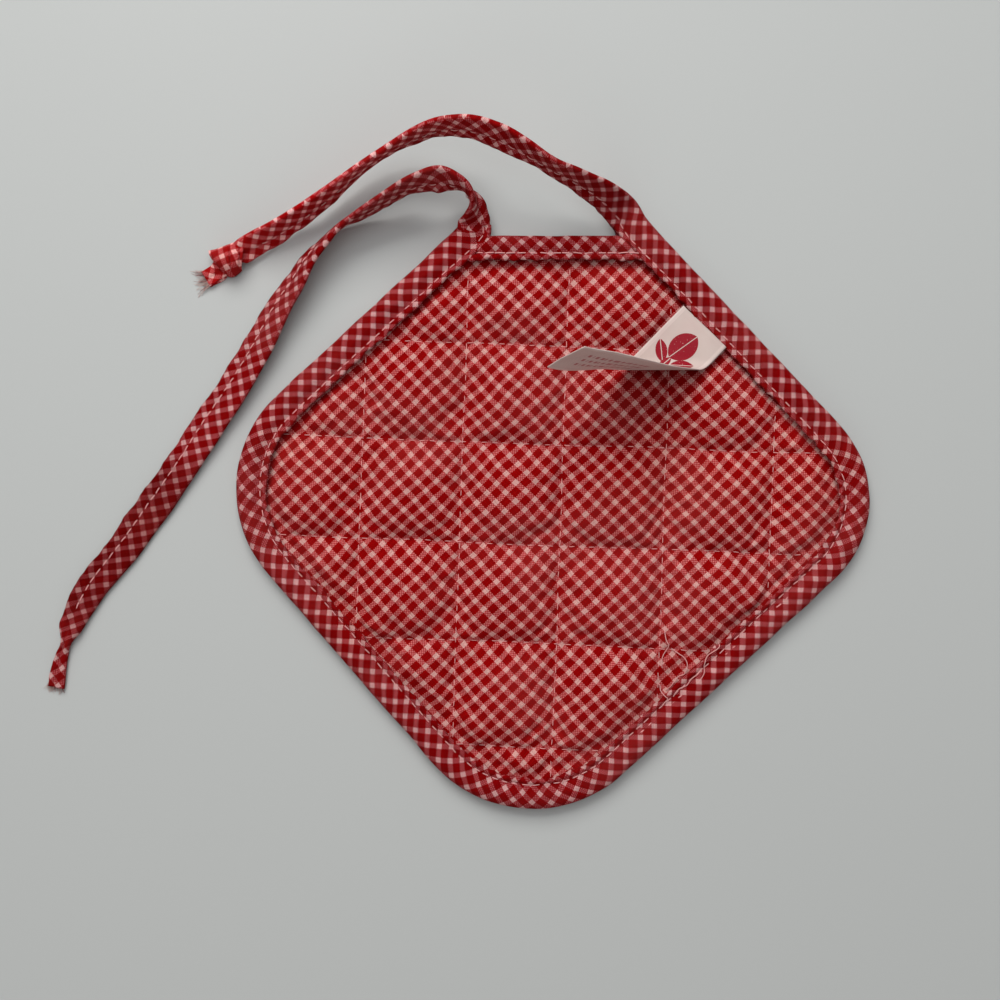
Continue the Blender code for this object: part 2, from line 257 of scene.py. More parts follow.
class Graph:
    """Short calls for the nodes of one shader or geometry tree."""

    def __init__(self, tree: bpy.types.NodeTree) -> None:
        """Keep the tree to build in."""
        self.tree = tree

    def node(self, kind: str, inputs: dict[str | int, object] | None = None,
             **settings: object) -> bpy.types.Node:
        """Add a node, set some of its properties and feed its inputs.

        Args:
            kind: The node's type.
            inputs: A socket or a constant for each named or numbered input.
            **settings: Properties of the node.

        Returns:
            The node.
        """
        made = self.tree.nodes.new(kind)
        for name, value in settings.items():
            setattr(made, name, value)
        self.feed_all(made, inputs or {})
        return made

    def feed_all(self, node: bpy.types.Node, inputs: dict[str | int, object]) -> None:
        """Feed the named or numbered inputs of a node."""
        for name, value in inputs.items():
            self.feed(node.inputs[name], value)

    def feed(self, socket: bpy.types.NodeSocket, value: object) -> None:
        """Link a socket to the input, or set it where the value is a constant."""
        if isinstance(value, bpy.types.NodeSocket):
            self.tree.links.new(value, socket)
        else:
            socket.default_value = value

    def math(self, operation: str, *values: object) -> bpy.types.NodeSocket:
        """Add a Math node and return its result."""
        return self.node("ShaderNodeMath", dict(enumerate(values)), operation=operation).outputs[0]

    def vector(self, operation: str, *values: object) -> bpy.types.NodeSocket:
        """Add a Vector Math node and return its vector or its value."""
        made = self.node("ShaderNodeVectorMath", dict(enumerate(values)), operation=operation)
        return made.outputs["Value" if operation == "DOT_PRODUCT" else "Vector"]

    def noise(self, vector: object, scale: float, detail: float = 2.0,
              plane: str = "3D") -> bpy.types.NodeSocket:
        """Add a Noise Texture and return its value."""
        inputs = {"Vector": vector, "Scale": scale, "Detail": detail}
        return self.node("ShaderNodeTexNoise", inputs, noise_dimensions=plane).outputs["Fac"]

    def ramp(self, value: object, low: float, high: float, start: float = 0.0,
             end: float = 1.0) -> bpy.types.NodeSocket:
        """Map a value smoothly from one range to another."""
        inputs = {"Value": value, "From Min": low, "From Max": high, "To Min": start, "To Max": end}
        made = self.node("ShaderNodeMapRange", inputs, interpolation_type="SMOOTHSTEP")
        return made.outputs["Result"]

    def blend(self, factor: object, first: object, second: object,
              mode: str = "MIX") -> bpy.types.NodeSocket:
        """Mix two colours."""
        inputs = {0: factor, 6: first, 7: second}
        return self.node("ShaderNodeMix", inputs, data_type="RGBA", blend_type=mode).outputs[2]

    def largest(self, values: Sequence[object]) -> bpy.types.NodeSocket:
        """Return the largest of some values."""
        found = values[0]
        for value in values[1:]:
            found = self.math("MAXIMUM", found, value)
        return found

    def object_place(self) -> bpy.types.NodeSocket:
        """Return the object's own coordinates."""
        return self.node("ShaderNodeTexCoord").outputs["Object"]

    def cloth_place(self) -> bpy.types.NodeSocket:
        """Return the place on the flat cloth, from the piece's own UV map."""
        return self.node("ShaderNodeUVMap", uv_map="cloth").outputs["UV"]

    def parts(self, vector: object) -> bpy.types.Node:
        """Split a vector in its X, Y and Z."""
        return self.node("ShaderNodeSeparateXYZ", {0: vector})

    def bump(self, shader: bpy.types.Node, strength: float, distance: float,
             height: object) -> None:
        """Raise and lower a shader's surface by a height."""
        inputs = {"Strength": strength, "Distance": distance, "Height": height}
        self.feed(shader.inputs["Normal"], self.node("ShaderNodeBump", inputs).outputs["Normal"])

    def painted(self, geometry: bpy.types.NodeSocket,
                material: bpy.types.NodeSocket) -> bpy.types.NodeSocket:
        """Realize the instances of a geometry, shade it smooth and set its material."""
        for kind in ("GeometryNodeRealizeInstances", "GeometryNodeSetShadeSmooth",
                     "GeometryNodeSetMaterial"):
            made = self.node(kind, {"Geometry": geometry})
            geometry = made.outputs["Geometry"]
        self.feed(made.inputs["Material"], material)
        return geometry


def group_tree(name: str, kind: str, inputs: Sequence[tuple[str, str, object]],
               outputs: Sequence[tuple[str, str]]) -> tuple[Graph, bpy.types.Node, bpy.types.Node]:
    """Start a node group with named sockets.

    Args:
        name: The group's name.
        kind: ShaderNodeTree or GeometryNodeTree.
        inputs: Name, socket type and default of each input.
        outputs: Name and socket type of each output.

    Returns:
        The graph, its Group Input node and its Group Output node.
    """
    tree = bpy.data.node_groups.new(name, kind)
    for label, socket_type, default in inputs:
        socket = tree.interface.new_socket(label, in_out="INPUT", socket_type=socket_type)
        if default is not None:
            socket.default_value = default
    for label, socket_type in outputs:
        tree.interface.new_socket(label, in_out="OUTPUT", socket_type=socket_type)
    graph = Graph(tree)
    return graph, graph.node("NodeGroupInput"), graph.node("NodeGroupOutput")


FLOAT = "NodeSocketFloat"
VECTOR = "NodeSocketVector"
COLOUR = "NodeSocketColor"
GEOMETRY = "NodeSocketGeometry"
MATERIAL = "NodeSocketMaterial"
INTEGER = "NodeSocketInt"


class WovenCheck:
    """Shader group of a gingham: two yarn colours in both directions, plain woven."""

    NAME = "woven_check"
    SWAY = 4.0  # share of the wander that bends whole stripes
    SHAKE = 0.9  # share of a yarn that roughens their edges

    def __init__(self) -> None:
        """Build the group once."""
        graph, source, sink = group_tree(
            self.NAME, "ShaderNodeTree",
            [
                ("Cloth", VECTOR, None),
                ("Warp Direction", VECTOR, (1.0, 0.0, 0.0)),
                ("Weft Direction", VECTOR, (0.0, 1.0, 0.0)),
                ("Warp Repeat", FLOAT, 0.0035),
                ("Weft Repeat", FLOAT, 0.0029),
                ("Warp Share", FLOAT, 0.6),
                ("Weft Share", FLOAT, 0.55),
                ("Yarn", FLOAT, 0.00029),
                ("Wander", FLOAT, 0.0003),
                ("Red", COLOUR, (0.254, 0.0015, 0.0015, 1.0)),
                ("Red On White", COLOUR, (0.30, 0.01, 0.012, 1.0)),
                ("White On Red", COLOUR, (0.48, 0.13, 0.13, 1.0)),
                ("White", COLOUR, (0.66, 0.56, 0.53, 1.0)),
            ],
            [("Colour", COLOUR), ("Height", FLOAT)],
        )
        self.tree = graph.tree
        cloth = source.outputs["Cloth"]
        yarn = source.outputs["Yarn"]
        places = []
        for side, seed in (("Warp", 0.0), ("Weft", 40.0)):
            shifted = graph.vector("ADD", cloth, (seed, 0.0, 0.0))
            broad = graph.math("SUBTRACT", graph.noise(shifted, 70.0, 1.0, "2D"), 0.5)
            close = graph.math("SUBTRACT", graph.noise(shifted, 450.0, 1.0, "2D"), 0.5)
            wander = graph.math("MULTIPLY", source.outputs["Wander"], self.SWAY)
            sway = graph.math("MULTIPLY", broad, wander)
            shake = graph.math("MULTIPLY", close, graph.math("MULTIPLY", yarn, self.SHAKE))
            place = graph.vector("DOT_PRODUCT", cloth, source.outputs[f"{side} Direction"])
            places.append(graph.math("ADD", place, graph.math("ADD", sway, shake)))
        reds, index, profile, tone = [], [], [], []
        for side, place in zip(("Warp", "Weft"), places):
            repeats = graph.math("DIVIDE", place, source.outputs[f"{side} Repeat"])
            phase = graph.math("FRACT", repeats)
            reds.append(graph.math("LESS_THAN", phase, source.outputs[f"{side} Share"]))
            count = graph.math("DIVIDE", place, yarn)
            index.append(graph.math("FLOOR", count))
            swell = graph.math("SINE", graph.math("MULTIPLY", graph.math("FRACT", count), math.pi))
            profile.append(swell)
            white = graph.node("ShaderNodeTexWhiteNoise", {"W": index[-1]}, noise_dimensions="1D")
            tone.append(white.outputs["Value"])
        total = graph.math("ADD", index[0], index[1])
        odd = graph.math("FRACT", graph.math("MULTIPLY", total, 0.5))
        over = graph.math("GREATER_THAN", odd, 0.25)
        under = graph.math("SUBTRACT", 1.0, over)

        def pick(when_over: object, when_under: object) -> bpy.types.NodeSocket:
            """Choose between two values by which yarn is on top."""
            first = graph.math("MULTIPLY", when_over, over)
            return graph.math("ADD", first, graph.math("MULTIPLY", when_under, under))

        top_red = pick(reds[0], reds[1])
        low_red = pick(reds[1], reds[0])
        top_tone = pick(tone[0], tone[1])
        crest = pick(profile[0], profile[1])
        cross = pick(profile[1], profile[0])
        pale = graph.blend(low_red, source.outputs["White"], source.outputs["White On Red"])
        deep = graph.blend(low_red, source.outputs["Red On White"], source.outputs["Red"])
        flat = graph.blend(top_red, pale, deep)
        height = graph.math("MULTIPLY", crest, graph.math("MULTIPLY_ADD", cross, 0.45, 0.55))
        shade = graph.math("MULTIPLY_ADD", height, 0.34, 0.80)
        fleck = graph.math("MULTIPLY_ADD", top_tone, 0.36, 0.82)
        both = graph.math("MULTIPLY", shade, fleck)
        grey = graph.node("ShaderNodeCombineColor", dict.fromkeys(range(3), both))
        woven = graph.blend(1.0, flat, grey.outputs["Color"], "MULTIPLY")
        graph.feed_all(sink, {"Colour": woven, "Height": height})


class SoftWear:
    """Shader group of washed, handled cloth: faded patches and a faint cream stain."""

    NAME = "soft_wear"

    def __init__(self) -> None:
        """Build the group once."""
        graph, source, sink = group_tree(
            self.NAME, "ShaderNodeTree",
            [
                ("Colour", COLOUR, (1.0, 1.0, 1.0, 1.0)),
                ("Place", VECTOR, None),
                ("Fade", FLOAT, 0.06),
                ("Stain", FLOAT, 0.25),
            ],
            [("Colour", COLOUR), ("Rough", FLOAT)],
        )
        self.tree = graph.tree
        place = source.outputs["Place"]
        patch = graph.ramp(graph.noise(place, 38.0, 3.0), 0.42, 0.68)
        faded = graph.blend(
            graph.math("MULTIPLY", patch, source.outputs["Fade"]), source.outputs["Colour"],
            (0.50, 0.13, 0.12, 1.0),
        )
        elsewhere = graph.vector("ADD", place, (3.1, 1.7, 0.4))
        spot = graph.ramp(graph.noise(elsewhere, 22.0, 2.0), 0.50, 0.72)
        stained = graph.blend(
            graph.math("MULTIPLY", spot, source.outputs["Stain"]), faded,
            (1.0, 0.92, 0.78, 1.0), "MULTIPLY",
        )
        rough = graph.math("MULTIPLY_ADD", graph.noise(place, 900.0, 2.0), 0.1, 0.83)
        graph.feed_all(sink, {"Colour": stained, "Rough": rough})


class Finishes:
    """All materials, built once from the shared groups."""

    def __init__(self) -> None:
        """Build the shared groups."""
        self.check = WovenCheck().tree
        self.wear = SoftWear().tree

    def start(self, name: str) -> tuple[bpy.types.Material, Graph, bpy.types.Node]:
        """Make a material and return it with its graph and its shader."""
        material = bpy.data.materials.new(name)
        material.use_nodes = True
        graph = Graph(material.node_tree)
        shader = material.node_tree.nodes["Principled BSDF"]
        return material, graph, shader


class Stretch(NamedTuple):
    """A darker or paler stretch of a tape, by distance along it; its colour multiplies, and a
    darker one is painted shade.
    """

    first: float
    last: float
    ease: float
    colour: Colour


@dataclass(frozen=True)
class CheckedCotton:
    """Finish of the pad and the tapes: gingham read from the cloth's own UV map."""

    name: str
    warp_angle: float
    weft_angle: float
    warp_repeat: float = 3.5 * MM
    weft_repeat: float = 2.92 * MM
    warp_share: float = 0.63
    weft_share: float = 0.60
    yarn: float = 0.2917 * MM
    wander: float = 0.3 * MM
    red: Colour = (0.24, 0.0004, 0.0008, 1.0)
    red_on_white: Colour = (0.315, 0.007, 0.009, 1.0)
    white_on_red: Colour = (0.54, 0.145, 0.14, 1.0)
    white: Colour = (0.60, 0.31, 0.28, 1.0)
    fade: float = 0.06
    stain: float = 0.35
    bump: float = 0.35
    # darker stretches are painted shade
    stretches: tuple[Stretch, ...] = ()

    def material(self, finishes: Finishes) -> bpy.types.Material:
        """Build the material.

        Args:
            finishes: Holder of the shared groups.

        Returns:
            The new material.
        """
        material, graph, shader = finishes.start(self.name)
        cloth = graph.cloth_place()
        check = graph.node("ShaderNodeGroup", node_tree=finishes.check)
        graph.feed_all(check, {
            "Cloth": cloth,
            "Warp Direction": (*direction(self.warp_angle), 0.0),
            "Weft Direction": (*direction(self.weft_angle), 0.0),
            "Warp Repeat": self.warp_repeat, "Weft Repeat": self.weft_repeat,
            "Warp Share": self.warp_share, "Weft Share": self.weft_share,
            "Yarn": self.yarn, "Wander": self.wander,
            "Red": self.red, "Red On White": self.red_on_white,
            "White On Red": self.white_on_red, "White": self.white,
        })
        wear = graph.node("ShaderNodeGroup", node_tree=finishes.wear)
        graph.feed_all(wear, {"Colour": check.outputs["Colour"], "Place": graph.object_place(),
                              "Fade": self.fade, "Stain": self.stain})
        worn_and_shaded = wear.outputs["Colour"]
        # Stretches multiply the colour along the tape: darker ones are painted shade.
        for first, last, ease, colour in self.stretches:
            run = graph.parts(cloth).outputs["X"]
            begins = graph.ramp(run, first, first + ease)
            ends = graph.ramp(run, last - ease, last, 1.0, 0.0)
            worn_and_shaded = graph.blend(graph.math("MULTIPLY", begins, ends), worn_and_shaded, colour, "MULTIPLY")
        graph.feed_all(shader, {"Base Color": worn_and_shaded, "Roughness": wear.outputs["Rough"],
                                "Specular IOR Level": 0.03, "Sheen Weight": 0.015,
                                "Sheen Roughness": 0.5})
        graph.bump(shader, self.bump, self.yarn, check.outputs["Height"])
        return material


@dataclass(frozen=True)
class SpunThread:
    """Finish of sewing thread and fray: one pale colour with a twist in it."""

    name: str
    colour: Colour
    variation: float = 0.25
    twist: float = 2600.0

    def material(self, finishes: Finishes) -> bpy.types.Material:
        """Build the material.

        Args:
            finishes: Holder of the shared groups.

        Returns:
            The new material.
        """
        material, graph, shader = finishes.start(self.name)
        fleck = graph.noise(graph.object_place(), self.twist, 2.0)
        dark = tuple(part * (1.0 - self.variation) for part in self.colour[:3]) + (1.0,)
        graph.feed_all(shader, {"Base Color": graph.blend(fleck, dark, self.colour),
                                "Roughness": 0.62, "Sheen Weight": 0.2})
        graph.bump(shader, 0.4, 0.05 * MM, fleck)
        return material


@dataclass(frozen=True)
class PrintedSatin:
    """Finish of the ribbon label: ribbed white satin with a plain red leaf sprig."""

    name: str = "printed_satin"
    half_width: float = 7.5 * MM
    selvage: float = 1.1 * MM
    white: Colour = (0.57, 0.46, 0.42, 1.0)
    rib: Colour = (0.64, 0.52, 0.48, 1.0)
    ink: Colour = (0.27, 0.002, 0.012, 1.0)
    crumpled: Colour = (0.52, 0.36, 0.34, 1.0)
    faint_ink: Colour = (0.34, 0.06, 0.07, 1.0)
    faintness: float = 0.8
    dashes: tuple[float, ...] = (-2.6 * MM, 0.2 * MM, 2.8 * MM)
    # across, along, half length, half width, lean in degrees; along runs from the binding
    leaves: tuple[tuple[float, float, float, float, float], ...] = (
        (-0.3 * MM, 7.0 * MM, 4.4 * MM, 3.2 * MM, 10.0),
        (2.8 * MM, 10.8 * MM, 3.0 * MM, 1.5 * MM, 50.0),
        (-3.6 * MM, 11.4 * MM, 3.0 * MM, 1.5 * MM, -50.0),
        (-0.8 * MM, 13.2 * MM, 2.3 * MM, 1.0 * MM, 4.0),
    )

    def leaf_mask(self, graph: Graph, across: object, along: object,
                  leaf: tuple[float, float, float, float, float]) -> bpy.types.NodeSocket:
        """Mask of one pointed leaf with a bare midrib.

        Args:
            graph: The material's graph.
            across: Distance from the ribbon's middle.
            along: Distance from the binding.
            leaf: The leaf's row in the table.

        Returns:
            A value that is 1 on the ink.
        """
        x0, y0, half_length, half_width, lean = leaf
        turn = math.radians(lean)
        x = graph.math("SUBTRACT", across, x0)
        y = graph.math("SUBTRACT", along, y0)
        u = graph.math("ADD", graph.math("MULTIPLY", x, math.cos(turn)),
                       graph.math("MULTIPLY", y, math.sin(turn)))
        v = graph.math("SUBTRACT", graph.math("MULTIPLY", y, math.cos(turn)),
                       graph.math("MULTIPLY", x, math.sin(turn)))
        radius = (half_length ** 2 + half_width ** 2) / (2 * half_width)
        reach = graph.math("ADD", graph.math("ABSOLUTE", u), radius - half_width)
        squared = graph.math("ADD", graph.math("MULTIPLY", reach, reach),
                             graph.math("MULTIPLY", v, v))
        inside = graph.math("LESS_THAN", squared, radius ** 2)
        off_rib = graph.math("GREATER_THAN", graph.math("ABSOLUTE", u), 0.10 * MM)
        return graph.math("MULTIPLY", inside, off_rib)

    def dash_rows(self, graph: Graph, across: object, along: object) -> bpy.types.NodeSocket:
        """Mask of plain rows of uneven dashes that show through from the folded side.

        Args:
            graph: The material's graph.
            across: Distance from the ribbon's middle.
            along: Distance from the binding.

        Returns:
            A value that is 1 on the dashes.
        """
        rows = []
        for place in self.dashes:
            off = graph.math("ABSOLUTE", graph.math("SUBTRACT", across, place))
            rows.append(graph.ramp(off, 0.45 * MM, 0.85 * MM, 1.0, 0.0))
        beat = graph.math("ADD", graph.math("SINE", graph.math("MULTIPLY", along, 5200.0)),
                          graph.math("SINE", graph.math("MULTIPLY", along, 3300.0)))
        broken = graph.ramp(beat, -0.5, 0.3)
        far = graph.math("MULTIPLY", graph.ramp(along, 23 * MM, 24 * MM),
                         graph.ramp(along, 43 * MM, 44 * MM, 1.0, 0.0))
        return graph.math("MULTIPLY", far, graph.math("MULTIPLY", graph.largest(rows), broken))

    def material(self, finishes: Finishes) -> bpy.types.Material:
        """Build the material.

        Args:
            finishes: Holder of the shared groups.

        Returns:
            The new material.
        """
        material, graph, shader = finishes.start(self.name)
        split = graph.parts(graph.cloth_place())
        across, along = split.outputs["X"], split.outputs["Y"]
        ink = graph.largest([self.leaf_mask(graph, across, along, leaf) for leaf in self.leaves])
        edge = graph.math("ABSOLUTE", across)
        selvage = graph.math("GREATER_THAN", edge, self.half_width - self.selvage)
        ribs = graph.math("SINE", graph.math("MULTIPLY", along, math.tau / (0.22 * MM)))
        weft = graph.math("SINE", graph.math("MULTIPLY", across, math.tau / (0.12 * MM)))
        ground = graph.blend(selvage, self.white, self.rib)
        place = graph.object_place()
        crumple = graph.noise(place, 160.0, 2.0)
        toned = graph.blend(graph.ramp(crumple, 0.35, 0.7, 0.0, 0.30), ground, self.crumpled)
        grain = graph.ramp(graph.noise(place, 2500.0, 1.0), 0.1, 0.34)
        ghost = graph.math("MULTIPLY", self.dash_rows(graph, across, along), self.faintness)
        shown = graph.blend(ghost, toned, self.faint_ink)
        printed = graph.blend(graph.math("MULTIPLY", ink, grain), shown, self.ink)
        graph.feed_all(shader, {"Base Color": printed, "Roughness": 0.42,
                                "Specular IOR Level": 0.12, "Sheen Weight": 0.02})
        woven = graph.math("MULTIPLY_ADD", weft, 0.4, graph.math("MULTIPLY", ribs, selvage))
        graph.bump(shader, 0.25, 0.08 * MM, graph.math("MULTIPLY_ADD", crumple, 4.0, woven))
        return material


@dataclass(frozen=True)
class PaleTable:
    """Finish of the floor: smooth pale board with a soft gloss."""

    name: str = "pale_table"
    colour: Colour = (0.463, 0.474, 0.466, 1.0)

    def material(self, finishes: Finishes) -> bpy.types.Material:
        """Build the material.

        Args:
            finishes: Holder of the shared groups.

        Returns:
            The new material.
        """
        material, graph, shader = finishes.start(self.name)
        cloud = graph.noise(graph.object_place(), 5.0, 2.0)
        dim = tuple(part * 0.985 for part in self.colour[:3]) + (1.0,)
        graph.feed_all(shader, {"Base Color": graph.blend(cloud, dim, self.colour),
                                "Roughness": graph.ramp(cloud, 0.2, 0.8, 0.46, 0.52),
                                "Specular IOR Level": 0.25})
        return material


# ---------------------------------------------------------------- geometry trees


class StitchTree:
    """Geometry Nodes tree that lays arched stitches along a path."""

    def __init__(self) -> None:
        """Build the tree once."""
        graph, source, sink = group_tree(
            "stitch_row", "GeometryNodeTree",
            [
                ("Path", GEOMETRY, None),
                ("Pitch", FLOAT, 0.0025),
                ("Length", FLOAT, 0.0021),
                ("Radius", FLOAT, 0.00014),
                ("Arch", FLOAT, 0.0002),
                ("Sink", FLOAT, 0.0002),
                ("Wobble", FLOAT, 0.12),
                ("Seed", INTEGER, 1),
                ("Material", MATERIAL, None),
            ],
            [("Stitches", GEOMETRY)],
        )
        self.tree = graph.tree
        curve = graph.node("GeometryNodeMeshToCurve", {"Mesh": source.outputs["Path"]})
        spaced = {"Curve": curve.outputs["Curve"], "Length": source.outputs["Pitch"]}
        points = graph.node("GeometryNodeCurveToPoints", mode="LENGTH")
        graph.feed_all(points, spaced)
        up = graph.node("GeometryNodeInputNamedAttribute", {"Name": "up"},
                        data_type="FLOAT_VECTOR")
        forward = graph.node("FunctionNodeAlignRotationToVector",
                             {"Vector": points.outputs["Tangent"]}, axis="X")
        upright = graph.node("FunctionNodeAlignRotationToVector",
                             {"Rotation": forward.outputs[0], "Vector": up.outputs["Attribute"]},
                             axis="Z", pivot_axis="X")
        wobble = source.outputs["Wobble"]
        minus = graph.math("MULTIPLY", wobble, -1.0)
        low, high = (graph.node("ShaderNodeCombineXYZ", {1: part, 2: part}).outputs[0]
                     for part in (minus, wobble))
        jitter = graph.node("FunctionNodeRandomValue", data_type="FLOAT_VECTOR")
        graph.feed_all(jitter, {0: low, 1: high, "Seed": source.outputs["Seed"]})
        tilt = graph.node("FunctionNodeEulerToRotation", {0: jitter.outputs[0]})
        turned = graph.node("FunctionNodeRotateRotation",
                            {0: upright.outputs[0], 1: tilt.outputs[0]}, rotation_space="LOCAL")
        place = graph.node("GeometryNodeInstanceOnPoints", {
            "Points": points.outputs["Points"], "Instance": self.stitch(graph, source),
            "Rotation": turned.outputs[0],
        })
        done = graph.painted(place.outputs["Instances"], source.outputs["Material"])
        graph.feed(sink.inputs["Stitches"], done)

    @staticmethod
    def stitch(graph: Graph, source: bpy.types.Node) -> bpy.types.NodeSocket:
        """One stitch: a short arched tube with sunk ends, along X."""
        half = graph.math("MULTIPLY", source.outputs["Length"], 0.5)
        sunk = graph.math("MULTIPLY", source.outputs["Sink"], -1.0)
        start, end = (
            graph.node("ShaderNodeCombineXYZ",
                       {"X": graph.math("MULTIPLY", half, sign), "Z": sunk}).outputs[0]
            for sign in (-1.0, 1.0)
        )
        top = graph.node("ShaderNodeCombineXYZ",
                         {"Z": graph.math("MULTIPLY", source.outputs["Arch"], 2.0)})
        arc = graph.node("GeometryNodeCurveQuadraticBezier", {
            "Resolution": 5, "Start": start, "Middle": top.outputs[0], "End": end,
        })
        ring = graph.node("GeometryNodeCurvePrimitiveCircle",
                          {"Resolution": 5, "Radius": source.outputs["Radius"]})
        tube = graph.node("GeometryNodeCurveToMesh", {
            "Curve": arc.outputs[0], "Profile Curve": ring.outputs["Curve"], "Fill Caps": True,
        })
        return tube.outputs["Mesh"]


class ThreadTree:
    """Geometry Nodes tree that makes a thread along each path, thinner towards its tip."""

    def __init__(self) -> None:
        """Build the tree once."""
        graph, source, sink = group_tree(
            "thread_tube", "GeometryNodeTree",
            [
                ("Path", GEOMETRY, None),
                ("Radius", FLOAT, 0.00012),
                ("Tip", FLOAT, 0.6),
                ("Sides", INTEGER, 6),
                ("Material", MATERIAL, None),
            ],
            [("Thread", GEOMETRY)],
        )
        self.tree = graph.tree
        curve = graph.node("GeometryNodeMeshToCurve", {"Mesh": source.outputs["Path"]})
        along = graph.node("GeometryNodeSplineParameter")
        thinning = graph.math("SUBTRACT", 1.0, source.outputs["Tip"])
        lost = graph.math("MULTIPLY", along.outputs["Factor"], thinning)
        sized = graph.node("GeometryNodeSetCurveRadius", {
            "Curve": curve.outputs["Curve"], "Radius": graph.math("SUBTRACT", 1.0, lost),
        })
        ring = graph.node("GeometryNodeCurvePrimitiveCircle", {
            "Resolution": source.outputs["Sides"], "Radius": source.outputs["Radius"],
        })
        tube = graph.node("GeometryNodeCurveToMesh", {
            "Curve": sized.outputs["Curve"], "Profile Curve": ring.outputs["Curve"],
            "Fill Caps": True,
        })
        if "Scale" in tube.inputs:
            radius = graph.node("GeometryNodeInputRadius")
            graph.feed(tube.inputs["Scale"], radius.outputs[0])
        done = graph.painted(tube.outputs["Mesh"], source.outputs["Material"])
        graph.feed(sink.inputs["Thread"], done)


class Path3D(NamedTuple):
    """A path on a surface: its points and the surface's normals there."""

    points: list[Vector]
    ups: list[Vector]


def surface_of(*objects: bpy.types.Object) -> BVHTree:
    """Search tree over the surfaces of some pieces."""
    points: list[Vector] = []
    faces: list[list[int]] = []
    for obj in objects:
        start = len(points)
        points.extend(vert.co.copy() for vert in obj.data.vertices)
        faces.extend([start + i for i in face.vertices] for face in obj.data.polygons)
    return BVHTree.FromPolygons(points, faces)


def on_cloth(cloth: BVHTree, x: float, y: float, face: Face, clear: float) -> Vector:
    """Point on the upper or the lower surface of a piece.

    Args:
        cloth: The piece's surface.
        x: Place along X.
        y: Place along Y.
        face: FRONT for the upper surface and BACK for the lower one.
        clear: Distance to keep from the surface.

    Returns:
        The point; it lies on the table where there is no cloth.
    """
    reach = 60 * MM
    start = Vector((x, y, reach * face.value))
    hit = cloth.ray_cast(start, Vector((0.0, 0.0, -face.value)))[0]
    height = hit.z if hit is not None else 0.0
    return Vector((x, y, height + clear * face.value))


def guide_mesh(name: str, paths: Sequence[Path3D]) -> bpy.types.Mesh:
    """Join paths in one mesh of edges with an up vector on each point.

    Args:
        name: The mesh's name.
        paths: The paths.

    Returns:
        The mesh.
    """
    points: list[Vector] = []
    ups: list[Vector] = []
    edges = []
    for path in paths:
        start = len(points)
        points.extend(path.points)
        ups.extend(path.ups)
        edges.extend((i, i + 1) for i in range(start, len(points) - 1))
    mesh = bpy.data.meshes.new(name)
    mesh.from_pydata(points, edges, [])
    up = mesh.attributes.new("up", "FLOAT_VECTOR", "POINT")
    up.data.foreach_set("vector", [part for item in ups for part in item])
    return mesh


def grow(name: str, mesh: bpy.types.Mesh, tree: bpy.types.NodeTree,
         values: dict[str, object]) -> bpy.types.Object:
    """Run a Geometry Nodes tree on a mesh and keep the result as a plain mesh.

    Args:
        name: The new object's name.
        mesh: What the tree starts from.
        tree: The tree.
        values: Value of each named input.

    Returns:
        The new object.
    """
    guide = link_object(f"{name}_guide", mesh)
    modifier = guide.modifiers.new("grow", "NODES")
    modifier.node_group = tree
    for item in tree.interface.items_tree:
        if item.item_type == "SOCKET" and item.in_out == "INPUT" and item.name in values:
            modifier[item.identifier] = values[item.name]
    graph = bpy.context.evaluated_depsgraph_get()
    result = bpy.data.meshes.new_from_object(guide.evaluated_get(graph))
    result.name = name
    bpy.data.objects.remove(guide, do_unlink=True)
    return link_object(name, result)


# ---------------------------------------------------------------- outline of the pad


class Side(NamedTuple):
    """One straight side: its outward normal, distance and the radius of its next corner."""

    normal: float
    distance: float
    radius: float


